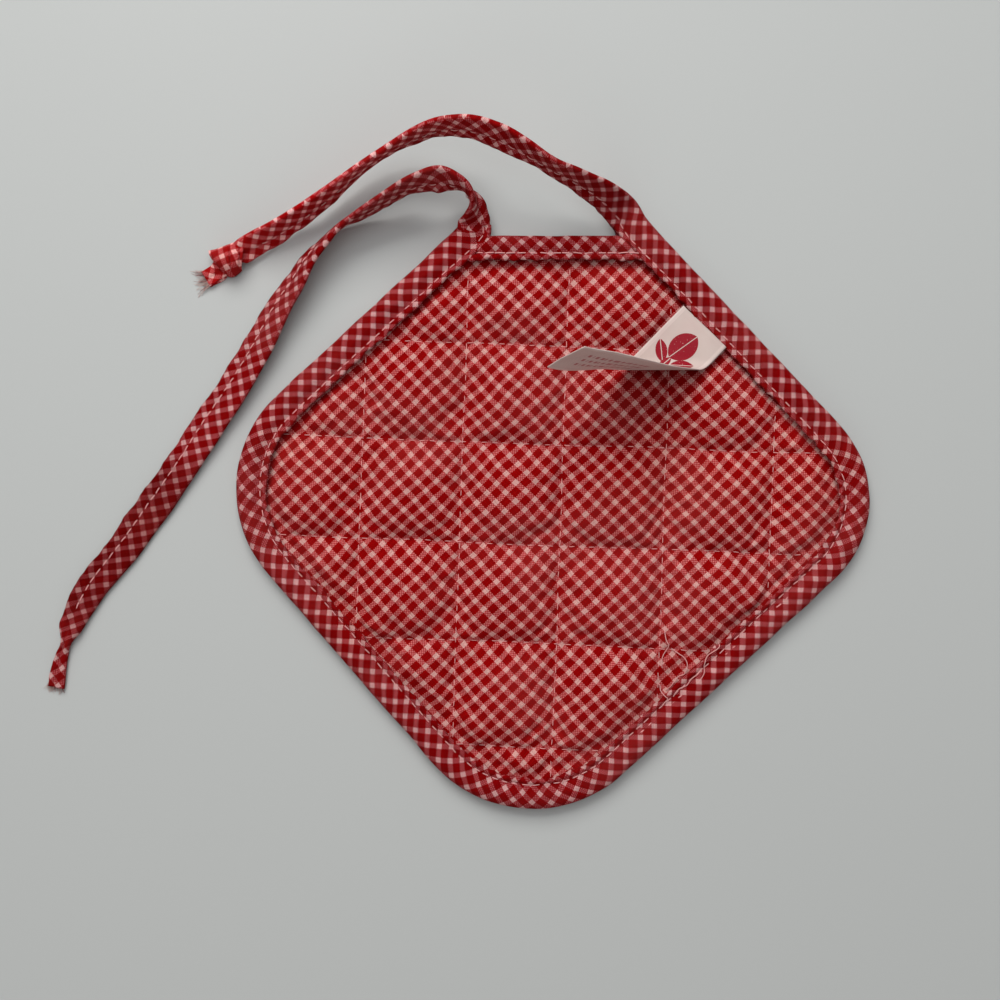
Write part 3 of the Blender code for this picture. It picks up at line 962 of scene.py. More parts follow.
@dataclass(frozen=True)
class Outline:
    """Outline of the bound pad: five straight sides with round corners, clockwise."""

    centre: tuple[float, float] = (9.9 * MM, -0.5 * MM)
    sides: tuple[Side, ...] = (
        Side(90.0, 65.8 * MM, 10.0 * MM),  # neck
        Side(44.6, 64.0 * MM, 27.5 * MM),  # upper right
        Side(-47.4, 63.1 * MM, 33.5 * MM),  # lower right
        Side(-138.9, 67.2 * MM, 32.5 * MM),  # lower left
        Side(-227.7, 66.1 * MM, 10.0 * MM),  # upper left
    )

    def corners(self, inset: float, step: float) -> list[list[Vector]]:
        """Arcs of the outline's corners.

        Args:
            inset: How far the outline is moved in.
            step: Distance between points on an arc, about.

        Returns:
            One list of points a corner; the first is the neck's right end.
        """
        arcs = []
        middle = Vector(self.centre)
        for index, side in enumerate(self.sides):
            after = self.sides[(index + 1) % len(self.sides)]
            turn = (side.normal - after.normal) % 360.0
            bend = max(side.radius - inset, 0.5 * MM)
            first, second = direction(side.normal), direction(side.normal - turn)
            reach = Matrix((first, second)).inverted() @ Vector(
                (side.distance - inset - bend, after.distance - inset - bend))
            steps = max(2, round(side.radius * math.radians(turn) / step))
            arcs.append([
                middle + reach + bend * direction(side.normal - turn * i / steps)
                for i in range(steps + 1)
            ])
        return arcs

    def loop(self, inset: float, step: float) -> list[Vector]:
        """Closed outline with its straight sides divided as finely as its corners."""
        arcs = self.corners(inset, step)
        points = []
        for arc, after in zip(arcs, arcs[1:] + arcs[:1]):
            points.extend(arc)
            gap = (after[0] - arc[-1]).length
            pieces = max(1, round(gap / step))
            points.extend(arc[-1].lerp(after[0], i / pieces) for i in range(1, pieces))
        return points

    def depths(self, points: np.ndarray) -> np.ndarray:
        """Distance of points inside the outline from its edge, negative outside.

        Args:
            points: One row of x and y a point.

        Returns:
            One distance a point.
        """
        loop = np.array([tuple(point) for point in self.loop(0.0, 1.0 * MM)])
        start, span = loop, np.roll(loop, -1, axis=0) - loop
        offset = points[:, None, :] - start[None, :, :]
        along = np.clip((offset * span).sum(axis=2) / (span ** 2).sum(axis=1), 0.0, 1.0)
        nearest = offset - along[:, :, None] * span
        distance = np.sqrt((nearest ** 2).sum(axis=2)).min(axis=1)
        # The outline runs clockwise, so what is inside lies to the right of every edge.
        cross = span[None, :, 0] * offset[:, :, 1] - span[None, :, 1] * offset[:, :, 0]
        return np.where((cross < 0).all(axis=1), distance, -distance)


# ---------------------------------------------------------------- quilted pad


# Settings of the cloth simulation that blows the pad up, at its enlarged size.
WADDING: dict[str, object] = {
    "quality": 5,
    "mass": 0.3,
    "tension_stiffness": 25.0,
    "compression_stiffness": 25.0,
    "shear_stiffness": 8.0,
    "bending_stiffness": 1.2,
    "air_damping": 2.0,
    "use_pressure": True,
    "uniform_pressure_force": 9.0,
    "shrink_min": -0.035,
}


@dataclass
class QuiltedPad:
    """Two layers of gingham over wadding, sewn through along a grid."""

    outline: Outline
    inset: float = 2.3 * MM
    turn: float = -2.1
    columns: tuple[float, ...] = (-91.0, -64.6, -39.0, -13.7, 11.8, 37.7, 64.8, 91.5)
    rows: tuple[float, ...] = (-89.0, -63.5, -37.3, -12.4, 13.2, 37.8, 63.2, 88.8)
    divisions: int = 16
    rim_step: float = 1.6 * MM
    rim_gap: float = 0.8 * MM
    seam_top: float = 1.8 * MM
    seam_bottom: float = 1.3 * MM
    border: float = 8.9 * MM
    border_top: float = 2.0 * MM
    border_bottom: float = 1.35 * MM
    crown: float = 3.5 * MM
    hollow: float = 2.2 * MM
    seam_crease: float = 0.95
    fullness: float = 0.86
    pucker: float = 0.50 * MM
    overhang: float = 0.65 * MM
    slip: float = 1.2 * MM
    enlarged: float = 20.0
    frames: int = 24
    stitch_pitch: float = 2.6 * MM

    def place(self, p: float, q: float) -> Vector:
        """Place of a point of the quilting's lattice.

        Args:
            p: Column number, whole on a sewn line.
            q: Row number, whole on a sewn line.

        Returns:
            The flat point, in metres.
        """
        x = float(np.interp(p, range(len(self.columns)), self.columns)) * MM
        y = float(np.interp(q, range(len(self.rows)), self.rows)) * MM
        x += 0.4 * MM * ripple(x, y, 19 * MM, 1)
        y += 0.5 * MM * ripple(x, y, 23 * MM, 2)
        turned = Matrix.Rotation(math.radians(self.turn), 2)
        return turned @ Vector((x, y))

    def plan(self) -> tuple[np.ndarray, list[list[int]], np.ndarray, np.ndarray]:
        """Divide the pad's flat shape along its sewn lines.

        Returns:
            The flat points, the faces, each point's depth inside the outline and its
            nearness to a sewn line, from 0 on the line to 1 in the middle of a cell.
        """
        loop = self.outline.loop(self.inset, self.rim_step)
        step = self.divisions
        lattice, nearness = [], []
        for i in range(step * (len(self.columns) - 1) + 1):
            for j in range(step * (len(self.rows) - 1) + 1):
                lattice.append(tuple(self.place(i / step, j / step)))
                away = [min(n % step, step - n % step) / (step / 2) for n in (i, j)]
                nearness.append((away[0], away[1]))
        inner = np.array(lattice)
        keep = self.outline.depths(inner) > self.inset + self.rim_gap
        inner = inner[keep]
        near = np.array(nearness)[keep]
        points = [Vector(point) for point in inner] + loop
        first = len(inner)
        ring = list(range(first, len(points)))
        edges = list(zip(ring, ring[1:] + ring[:1]))
        places, _, faces, origins, _, _ = delaunay_2d_cdt(points, edges, [], 1, 1e-7)
        flat = np.array([tuple(place) for place in places])
        near_all = np.ones((len(flat), 2))
        for index, origin in enumerate(origins):
            if origin and origin[0] < first:
                near_all[index] = near[origin[0]]
        return flat, [list(face) for face in faces], self.outline.depths(flat), near_all

    def build(self, material: bpy.types.Material) -> bpy.types.Object:
        """Make the pad and dress it.

        Args:
            material: The pad's gingham.

        Returns:
            The pad.
        """
        flat, faces, depth, near = self.plan()
        held = np.minimum(near[:, 0], near[:, 1]) < 1e-6
        rim = depth < self.border
        base_top = np.where(rim, self.border_top, self.seam_top)
        base_low = np.where(rim, self.border_bottom, self.seam_bottom)
        bm = bmesh.new()
        cloth = bm.loops.layers.uv.new("cloth")
        layers = []
        for base in (base_top, base_low):
            layers.append([bm.verts.new((x, y, z)) for (x, y), z in zip(flat, base)])
        for face in faces:
            bm.faces.new([layers[0][i] for i in face])
            bm.faces.new([layers[1][i] for i in reversed(face)])
        bmesh.ops.join_triangles(
            bm, faces=bm.faces[:], cmp_seam=False, cmp_sharp=False, cmp_uvs=False,
            cmp_vcols=False, cmp_materials=False, angle_face_threshold=0.6,
            angle_shape_threshold=1.2,
        )
        count = len(flat)
        bm.verts.index_update()
        edges = [edge for edge in bm.edges if edge.is_boundary and edge.verts[0].index < count]
        for edge in edges:
            a, b = (vert.index for vert in edge.verts)
            bm.faces.new((layers[0][a], layers[0][b], layers[1][b], layers[1][a]))
        for face in bm.faces:
            for corner in face.loops:
                corner[cloth].uv = corner.vert.co.xy
        crease = bm.edges.layers.float.new("crease_edge")
        for edge in bm.edges:
            ends = [vert.index % count for vert in edge.verts]
            if held[ends].all() and not rim[ends].any():
                edge[crease] = self.seam_crease
        mesh = mesh_from("quilted_pad_cloth", bm)
        pad = link_object("quilted_pad_cloth", mesh)
        pinned = np.concatenate([held | rim, held | rim])
        heights = self.inflated(pad, pinned)
        self.settle(pad, heights, np.concatenate([base_top, base_low]), count)
        finer = pad.modifiers.new("finer", "SUBSURF")
        finer.levels = finer.render_levels = 1
        graph = bpy.context.evaluated_depsgraph_get()
        smooth = bpy.data.meshes.new_from_object(pad.evaluated_get(graph))
        pad.modifiers.clear()
        pad.data = smooth
        bpy.data.meshes.remove(mesh)
        smooth.name = pad.name
        dress(pad, Slot.GINGHAM, material)
        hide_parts("quilted_pad")
        return pad

    def inflated(self, pad: bpy.types.Object, pinned: np.ndarray) -> np.ndarray:
        """Blow the layers apart between the sewn lines with a cloth simulation.

        The pad is simulated enlarged, because cloth settings suit large things.

        Args:
            pad: The pad's object.
            pinned: Whether each point is sewn down.

        Returns:
            How far each point moved, in metres.
        """
        mesh = pad.data
        count = len(mesh.vertices)
        rest = np.empty(count * 3)
        mesh.vertices.foreach_get("co", rest)
        mesh.vertices.foreach_set("co", rest * self.enlarged)
        group = pad.vertex_groups.new(name="sewn")
        group.add([int(i) for i in np.nonzero(pinned)[0]], 1.0, "REPLACE")
        cloth = pad.modifiers.new("wadding", "CLOTH")
        for setting, value in WADDING.items():
            setattr(cloth.settings, setting, value)
        cloth.settings.vertex_group_mass = group.name
        cloth.settings.effector_weights.gravity = 0.0
        cloth.point_cache.frame_start = 1
        cloth.point_cache.frame_end = self.frames
        scene = bpy.context.scene
        for frame in range(1, self.frames + 1):
            scene.frame_set(frame)
        graph = bpy.context.evaluated_depsgraph_get()
        moved = np.empty(count * 3)
        pad.evaluated_get(graph).data.vertices.foreach_get("co", moved)
        pad.modifiers.remove(cloth)
        pad.vertex_groups.clear()
        scene.frame_set(1)
        mesh.vertices.foreach_set("co", rest)
        return ((moved / self.enlarged) - rest).reshape(-1, 3)

    def settle(self, pad: bpy.types.Object, moves: np.ndarray, base: np.ndarray,
               count: int) -> None:
        """Place the swollen layers, flat where they rest on the table.

        Args:
            pad: The pad's object.
            moves: How far each point moves, top layer first.
            base: Height of each point before it moves.
            count: Number of points in one layer.
        """
        top = moves[:count, 2]
        full = float(np.percentile(top, 97))
        ease = self.crown / max(full, 1e-6)
        LOG.info("wadding swells %.2f mm before it is eased by %.2f", full / MM, ease)
        flat = np.empty(len(base) * 3)
        pad.data.vertices.foreach_get("co", flat)
        points = flat.reshape(-1, 3)
        points[:, :2] += np.clip(moves[:, :2], -self.slip, self.slip)
        swell = np.abs(moves[:, 2]) * min(ease, 1.6)
        share = np.clip(swell / self.crown, 0.0, 1.3)
        shaped = self.crown * share ** self.fullness
        wrinkles = np.array([
            ripple(x + 0.6 * y, y - 0.6 * x, 3.6 * MM, 5)
            + 0.6 * ripple(x - y, 0.35 * (x + y), 2.6 * MM, 6)
            for x, y in points[:, :2]
        ])
        shaped += self.pucker * wrinkles * np.clip(4 * share * (1.15 - share), 0.0, 1.0)
        points[:, 2] = base + shaped * np.sign(moves[:, 2])
        points[:count, 1] -= self.overhang * np.clip(1.6 * share[:count], 0.0, 1.0)
        rim = np.isclose(base[:count], self.border_top)
        points[:count, 2] += np.where(rim, 0.7 * self.pucker * wrinkles[:count], 0.0)
        points[count:, 2] = np.maximum(points[count:, 2], base[count:] - self.hollow)
        points[:, 2] = np.maximum(points[:, 2], 0.0)
        pad.data.vertices.foreach_set("co", points.ravel())
        pad.data.update()

    def seams(self, cloth: BVHTree) -> list[Path3D]:
        """Sewn lines on both faces of the pad, between the bindings.

        Args:
            cloth: The finished pad's surface.

        Returns:
            The lines.
        """
        paths = []
        fine = 24
        wide, high = len(self.columns), len(self.rows)
        for lines, reach, swapped in ((wide, high, False), (high, wide, True)):
            for line in range(lines):
                places = []
                for i in range((reach - 1) * fine + 1):
                    other = i / fine
                    places.append(self.place(other, line) if swapped else self.place(line, other))
                flat = np.array([tuple(place) for place in places])
                inside = self.outline.depths(flat) > self.border - 0.6 * MM
                chosen = flat[inside]
                if len(chosen) < 8:
                    continue
                for face in Face:
                    up = Vector((0.0, 0.0, float(face.value)))
                    points = [on_cloth(cloth, x, y, face, 0.0) for x, y in chosen]
                    paths.append(Path3D(points, [up] * len(points)))
        return paths


# ---------------------------------------------------------------- tapes


class TieRow(NamedTuple):
    """A place on a tie: middle, clearance below, roll in degrees, width and thickness, in mm."""

    x: float
    y: float
    lift: float
    roll: float
    width: float = 8.6
    thick: float = 1.6


class Station(NamedTuple):
    """One section of a tape, in metres."""

    point: Vector
    across: Vector
    normal: Vector
    width: float
    thick: float
    run: float


UPPER_TIE = (
    TieRow(-78.3, 54.7, 0.0, 0, 4.2, 1.5),  # frayed end
    TieRow(-75.4, 56.4, 0.0, 0, 4.6, 1.6),
    TieRow(-73.7, 58.3, 0.0, 10, 4.6, 2.6),
    TieRow(-71.8, 59.7, 0.1, 15, 4.8, 3.2),  # under the knot
    TieRow(-69.9, 61.0, 0.2, 20, 5.2, 2.8),
    TieRow(-67.4, 62.1, 0.3, 38, 6.6, 1.9),
    TieRow(-60.2, 65.8, 0.5, 62, 7.8, 1.7),
    TieRow(-53.4, 69.9, 1.2, 72, 8.4, 1.6),
    TieRow(-45.9, 75.0, 2.5, 80),
    TieRow(-38.5, 80.6, 4.0, 92),
    TieRow(-31.0, 85.1, 5.5, 93),
    TieRow(-24.6, 87.8, 7.5, 86),
    TieRow(-18.4, 89.2, 10.0, 80),
    TieRow(-11.0, 88.7, 12.0, 71),
    TieRow(-3.8, 86.0, 13.5, 65),
    TieRow(2.3, 82.7, 13.5, 71),
    TieRow(8.4, 79.3, 12.0, 80),
    TieRow(14.5, 77.2, 9.0, 73),
    TieRow(21.5, 74.3, 5.0, 52),
    TieRow(26.9, 70.9, 1.5, 16, 8.6, 2.2),
    TieRow(30.7, 66.0, 0.0, 0, 8.4, 4.6),  # upper right end of the neck
)
LOWER_TIE = (
    TieRow(-11.2, 65.0, 0.0, 0, 8.4, 4.6),  # upper left end of the neck
    TieRow(-10.3, 68.1, 1.5, 12, 8.4, 2.4),
    TieRow(-9.9, 70.9, 3.0, 40, 6.6, 2.1),
    TieRow(-10.3, 73.0, 4.6, 62, 6.2, 1.9),
    TieRow(-11.9, 74.9, 6.2, 86, 6.8, 1.8),  # turned over
    TieRow(-14.6, 76.3, 7.4, 108, 7.8, 1.7),
    TieRow(-18.6, 77.2, 8.0, 122),
    TieRow(-23.4, 76.5, 7.4, 107),
    TieRow(-28.2, 75.0, 5.8, 98),
    TieRow(-33.7, 72.2, 3.8, 94),
    TieRow(-39.3, 69.3, 2.0, 88),
    TieRow(-44.1, 66.8, 1.2, 76),
    TieRow(-47.8, 63.3, 0.8, 68),
    TieRow(-51.9, 58.8, 0.5, 58),
    TieRow(-55.4, 53.1, 0.3, 47),
    TieRow(-59.5, 46.9, 0.2, 37),
    TieRow(-64.7, 37.4, 0.1, 25),
    TieRow(-71.5, 26.4, 0.0, 16),
    TieRow(-78.8, 15.6, 0.0, 9),
    TieRow(-85.8, 5.1, 0.0, 4),
    TieRow(-92.6, -4.4, 0.0, 0),
    TieRow(-99.6, -14.1, 0.0, 0, 8.3, 1.6),
    TieRow(-106.0, -21.9, 0.0, 0, 7.8, 1.7),
    TieRow(-109.8, -28.0, 0.0, 0, 7.1, 1.9),
    TieRow(-112.4, -33.7, 0.0, 0, 5.6, 2.3),
    TieRow(-113.5, -37.2, 0.0, 0, 2.6, 2.4),  # pinched
    TieRow(-114.7, -40.8, 0.0, 0, 3.2, 1.8),
    TieRow(-116.3, -48.7, 0.0, 0, 4.2, 1.4),  # frayed end
)


def around_fold(front: Sequence[object], back: Sequence[object]) -> list:
    """Join two leaves that start at the fold, from the front edge to the back edge."""
    return [*reversed(front), *back[1:]]


@dataclass(frozen=True)
class TapeSection:
    """Shape of a bias tape that is folded once and sewn near its open edge."""

    wall: float = 0.55 * MM
    fold_steps: int = 5
    leaf_steps: int = 13
    inner_steps: int = 11
    bound_thick: float = 4.6 * MM
    tie_thick: float = 1.6 * MM
    bound_stitch: float = 1.75 * MM
    tie_stitch: float = 2.8 * MM

    def grip(self, thick: float) -> float:
        """How far the tape is opened by the pad in it, from 0 to 1."""
        share = (thick - self.tie_thick) / (self.bound_thick - self.tie_thick)
        return min(max(share, 0.0), 1.0)

    def fold_radius(self, width: float, thick: float) -> float:
        """Distance over which the fold rounds off."""
        return min(1.15 * thick / 2, 0.4 * width)

    def stitch_inset(self, width: float, thick: float) -> float:
        """Distance of the topstitching from the open edge."""
        grip = self.grip(thick)
        wanted = self.tie_stitch * (1 - grip) + self.bound_stitch * grip
        return min(wanted, 0.4 * width)

    def height(self, d: float, width: float, thick: float) -> float:
        """Half height of the outer surface at a distance from the fold.

        Args:
            d: Distance from the fold, in metres.
            width: Width of the folded tape.
            thick: Whole thickness of the folded tape.

        Returns:
            Height over the middle of the tape.
        """
        half = thick / 2
        radius = self.fold_radius(width, thick)
        if d < radius:
            return half * math.sqrt(max(0.0, 1 - (1 - d / radius) ** 2)) * 0.97
        grip = self.grip(thick)
        seam = width - self.stitch_inset(width, thick)
        groove = 0.50 + 0.10 * grip
        lip = 0.82 + 0.04 * grip
        edge = 0.66 + 0.02 * grip
        knots = (
            (radius, 0.97), (max(0.44 * width, radius * 1.05), 1.0), (seam, groove),
            (width - 0.42 * (width - seam), lip), (width, edge),
        )
        return half * eased(knots, d)

    def distances(self, width: float, thick: float) -> list[float]:
        """Distances from the fold of the points of one leaf, from the fold to the edge."""
        radius = self.fold_radius(width, thick)
        turned = [
            radius * (1 - math.cos(math.pi / 2 * i / self.fold_steps))
            for i in range(self.fold_steps)
        ]
        leaf = [radius + (width - radius) * i / self.leaf_steps for i in range(self.leaf_steps + 1)]
        return turned + leaf

    def ring(
        self, station: Station, relief: Callable[[float, float, Face], tuple[float, float]],
    ) -> tuple[list[Vector], list[tuple[float, float]]]:
        """Closed ring of one section and its place on the flat cloth.

        Args:
            station: The section's place.
            relief: Sideways and upward change of a point by run, distance from the fold
                and face.

        Returns:
            The ring's points, and the run and distance from the fold of each.
        """
        width, thick = station.width, station.thick
        steps = self.distances(width, thick)
        leaves = []
        for face in Face:
            leaf = []
            for d in steps:
                slide, rise = relief(station.run, d, face)
                a = d - width / 2 + slide
                u = face.value * (self.height(d, width, thick) + rise)
                leaf.append(((a, u), d))
            leaves.append(leaf)
        outer = around_fold(*leaves)
        flat = np.array([item[0] for item in outer])
        along = np.gradient(flat, axis=0)
        outward = np.stack([along[:, 1], -along[:, 0]], axis=1)
        outward /= np.maximum(np.linalg.norm(outward, axis=1, keepdims=True), 1e-9)
        middle = len(steps) - 1
        count = 2 * self.inner_steps
        picks = [round(i * (len(outer) - 1) / count) for i in range(count + 1)]
        inner = []
        for pick in reversed(picks):
            a, u = flat[pick] - outward[pick] * self.wall
            sign = 1 if pick < middle else -1
            if pick != middle:
                u = sign * max(sign * u, 0.04 * MM)
            inner.append(((a, u), outer[pick][1]))
        points, marks = [], []
        for index, ((a, u), d) in enumerate(outer + inner):
            place = station.point + station.across * a + station.normal * u
            place.z = max(place.z, 0.0)
            points.append(place)
            on_front = index <= middle or index >= len(outer) + self.inner_steps
            marks.append((station.run, d if on_front else -d))
        return points, marks


@dataclass
class EdgeTape:
    """One long bias tape: the upper tie, the binding of four sides and the lower tie."""

    outline: Outline
    section: TapeSection
    width: float = 8.0 * MM
    spacing: float = 0.52 * MM
    route_step: float = 8.0 * MM
    stitch_pitch: float = 2.55 * MM
    sewn_from: float = 12 * MM
    sewn_width: float = 7.0 * MM

    def rows(self) -> list[list[float]]:
        """Rows along the whole tape: x, y, height of the middle, roll, width, thickness."""
        rows: list[list[float]] = []

        def add(x: float, y: float, lift: float, roll: float, width: float, thick: float) -> None:
            """Add a row whose lowest edge is lift above the table."""
            rest = lift + width / 2 * abs(math.sin(roll)) + thick / 2 * abs(math.cos(roll))
            rows.append([x, y, rest, roll, width, thick])

        def add_tie(table: Sequence[TieRow]) -> None:
            """Add a tie's rows in metres and radians."""
            for row in table:
                add(row.x * MM, row.y * MM, row.lift * MM, math.radians(row.roll),
                    row.width * MM, row.thick * MM)

        add_tie(UPPER_TIE)
        arcs = self.outline.corners(self.width / 2, 4.0 * MM)[1:-1]
        ends = [Vector((row.x * MM, row.y * MM)) for row in (UPPER_TIE[-1], LOWER_TIE[0])]
        route = [arcs[0][0].lerp(ends[0], 0.8)]
        for arc in arcs:
            pieces = max(1, round((arc[0] - route[-1]).length / self.route_step))
            start = route[-1]
            route.extend(start.lerp(arc[0], piece / pieces) for piece in range(1, pieces))
            route.extend(arc)
        last = route[-1]
        goal = last.lerp(ends[1], 0.8)
        pieces = max(1, round((goal - last).length / self.route_step))
        route.extend(last.lerp(goal, piece / pieces) for piece in range(1, pieces + 1))
        for point in route:
            add(point.x, point.y, 0.0, 0.0, self.width, self.section.bound_thick)
        add_tie(LOWER_TIE)
        return rows

    def stations(self) -> list[Station]:
        """Close sections all along the tape."""
        fine = smooth_route(self.rows(), self.spacing)
        points = [Vector(row[:3]) for row in fine]
        stations = []
        run = 0.0
        for i, row in enumerate(fine):
            if i:
                run += (points[i] - points[i - 1]).length
            before = points[max(i - 1, 0)]
            after = points[min(i + 1, len(points) - 1)]
            heading = (after - before).normalized()
            side = heading.cross(Vector((0, 0, 1))).normalized()
            up = side.cross(heading)
            roll = row[3]
            across = side * math.cos(roll) - up * math.sin(roll)
            normal = up * math.cos(roll) + side * math.sin(roll)
            stations.append(Station(points[i], across, normal, row[4], row[5], run))
        return stations

    def relief(self, run: float, d: float, face: Face, width: float,
               thick: float) -> tuple[float, float]:
        """Puckers and soft wrinkles of the tape.

        Args:
            run: Distance along the tape.
            d: Distance from the fold.
            face: Which face.
            width: Width of the folded tape.
            thick: Thickness of the folded tape.

        Returns:
            Sideways and upward change, in metres.
        """
        grip = self.section.grip(thick)
        seed = 3.0 if face is Face.FRONT else 9.0
        seam = width - self.section.stitch_inset(width, thick)
        # Shares: between is 1 midway between two stitches, lip is 1 at the open edge, and
        # body is 1 midway from the fold to the seam.
        between = math.sin(math.pi * run / self.stitch_pitch) ** 2
        lip = min(max((d - seam) / (width - seam + 1e-9), 0.0), 1.0)
        body = math.sin(math.pi * min(max(d / seam, 0.0), 1.0))
        soft = ripple(run, d, 6.5 * MM, seed)
        fine = ripple(run, 1.7 * d, 2.6 * MM, seed + 1)
        drag = ripple(run - 1.1 * d, 0.35 * d, 4.2 * MM, seed + 2)
        quiet = 1.0 if face is Face.FRONT or grip < 0.5 else 0.35
        rise = body * (0.38 * soft + 0.34 * drag + 0.08 * fine) * (0.45 + 0.75 * grip) * MM
        gather = ripple(run, 0.0, 3.1 * MM, seed + 6)
        puckered = 0.30 * between * grip - 0.10 + 0.30 * fine + 0.25 * gather
        rise += lip * puckered * (0.7 + 0.6 * grip) * MM
        rise -= math.exp(-((d - seam) / (0.45 * MM)) ** 2) * (1 - between) * 0.22 * MM
        slide = lip * (0.50 * ripple(run, 0.0, 5.0 * MM, seed + 4)
                       + (0.15 + 0.35 * grip) * ripple(run, 0.0, 1.9 * MM, seed + 5)) * MM
        slide -= (1 - min(d / (1.5 * MM), 1.0)) * 0.22 * ripple(run, 0.0, 7.0 * MM, 21.0) * MM
        return slide, rise * quiet

    def build(self, material: bpy.types.Material) -> bpy.types.Object:
        """Make the tape and dress it.

        Args:
            material: The tape's gingham.

        Returns:
            The tape.
        """
        rings, marks = [], []
        for station in self.stations():
            def relief(run: float, d: float, face: Face) -> tuple[float, float]:
                """Relief at this station's width and thickness."""
                return self.relief(run, d, face, station.width, station.thick)

            ring, mark = self.section.ring(station, relief)
            rings.append(ring)
            marks.append(mark)
        tape = link_object("edge_tape_cloth", loft("edge_tape_cloth", rings, marks))
        dress(tape, Slot.TAPE, material)
        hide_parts("edge_tape")
        return tape

    def stitch_paths(self) -> list[Path3D]:
        """Topstitching near the open edge, on both faces, and a second row at the lower right."""
        paths = []
        for face in Face:
            points, ups = [], []
            for station in self.stations():
                width, thick = station.width, station.thick
                if width < self.sewn_width or station.run < self.sewn_from:
                    continue
                d = width - self.section.stitch_inset(width, thick)
                height = self.section.height(d, width, thick) + 0.02 * MM
                sway = 0.18 * MM * ripple(station.run, 0.0, 14 * MM, 31.0)
                up = station.normal * face.value
                place = station.point + station.across * (d - width / 2 + sway) + up * height
                place.z = max(place.z, 0.15 * MM)
                points.append(place)
                ups.append(up)
            paths.append(Path3D(points, ups))
        aside, over = 1.3 * MM, 0.25 * MM
        again = [
            (point - station.across * aside + station.normal * over, station.normal)
            for station, point in self.front_line()
            if point.x > 12 * MM and -62 * MM < point.y < -18 * MM
        ]
        paths.append(Path3D([point for point, _ in again], [up for _, up in again]))
        return paths

    def front_line(self) -> list[tuple[Station, Vector]]:
        """Sections of the tape and the place of the front topstitching on each."""
        found = []
        for station in self.stations():
            d = station.width - self.section.stitch_inset(station.width, station.thick)
            height = self.section.height(d, station.width, station.thick)
            inward = station.across * (d - station.width / 2)
            found.append((station, station.point + inward + station.normal * height))
        return found

    def open_edge(self, side: int) -> list[tuple[float, float]]:
        """Open edge of the binding near one end of the neck, by rising y."""
        centre_x = self.outline.centre[0]
        points = []
        for station in self.stations():
            offset = (station.point.x - centre_x) * side
            near = 0 < offset < 33 * MM and station.point.y >= 33 * MM
            if near and station.point.z <= self.section.bound_thick:
                edge = station.point + station.across * station.width / 2
                points.append((edge.x, edge.y))
        return sorted(points, key=lambda pair: pair[1])


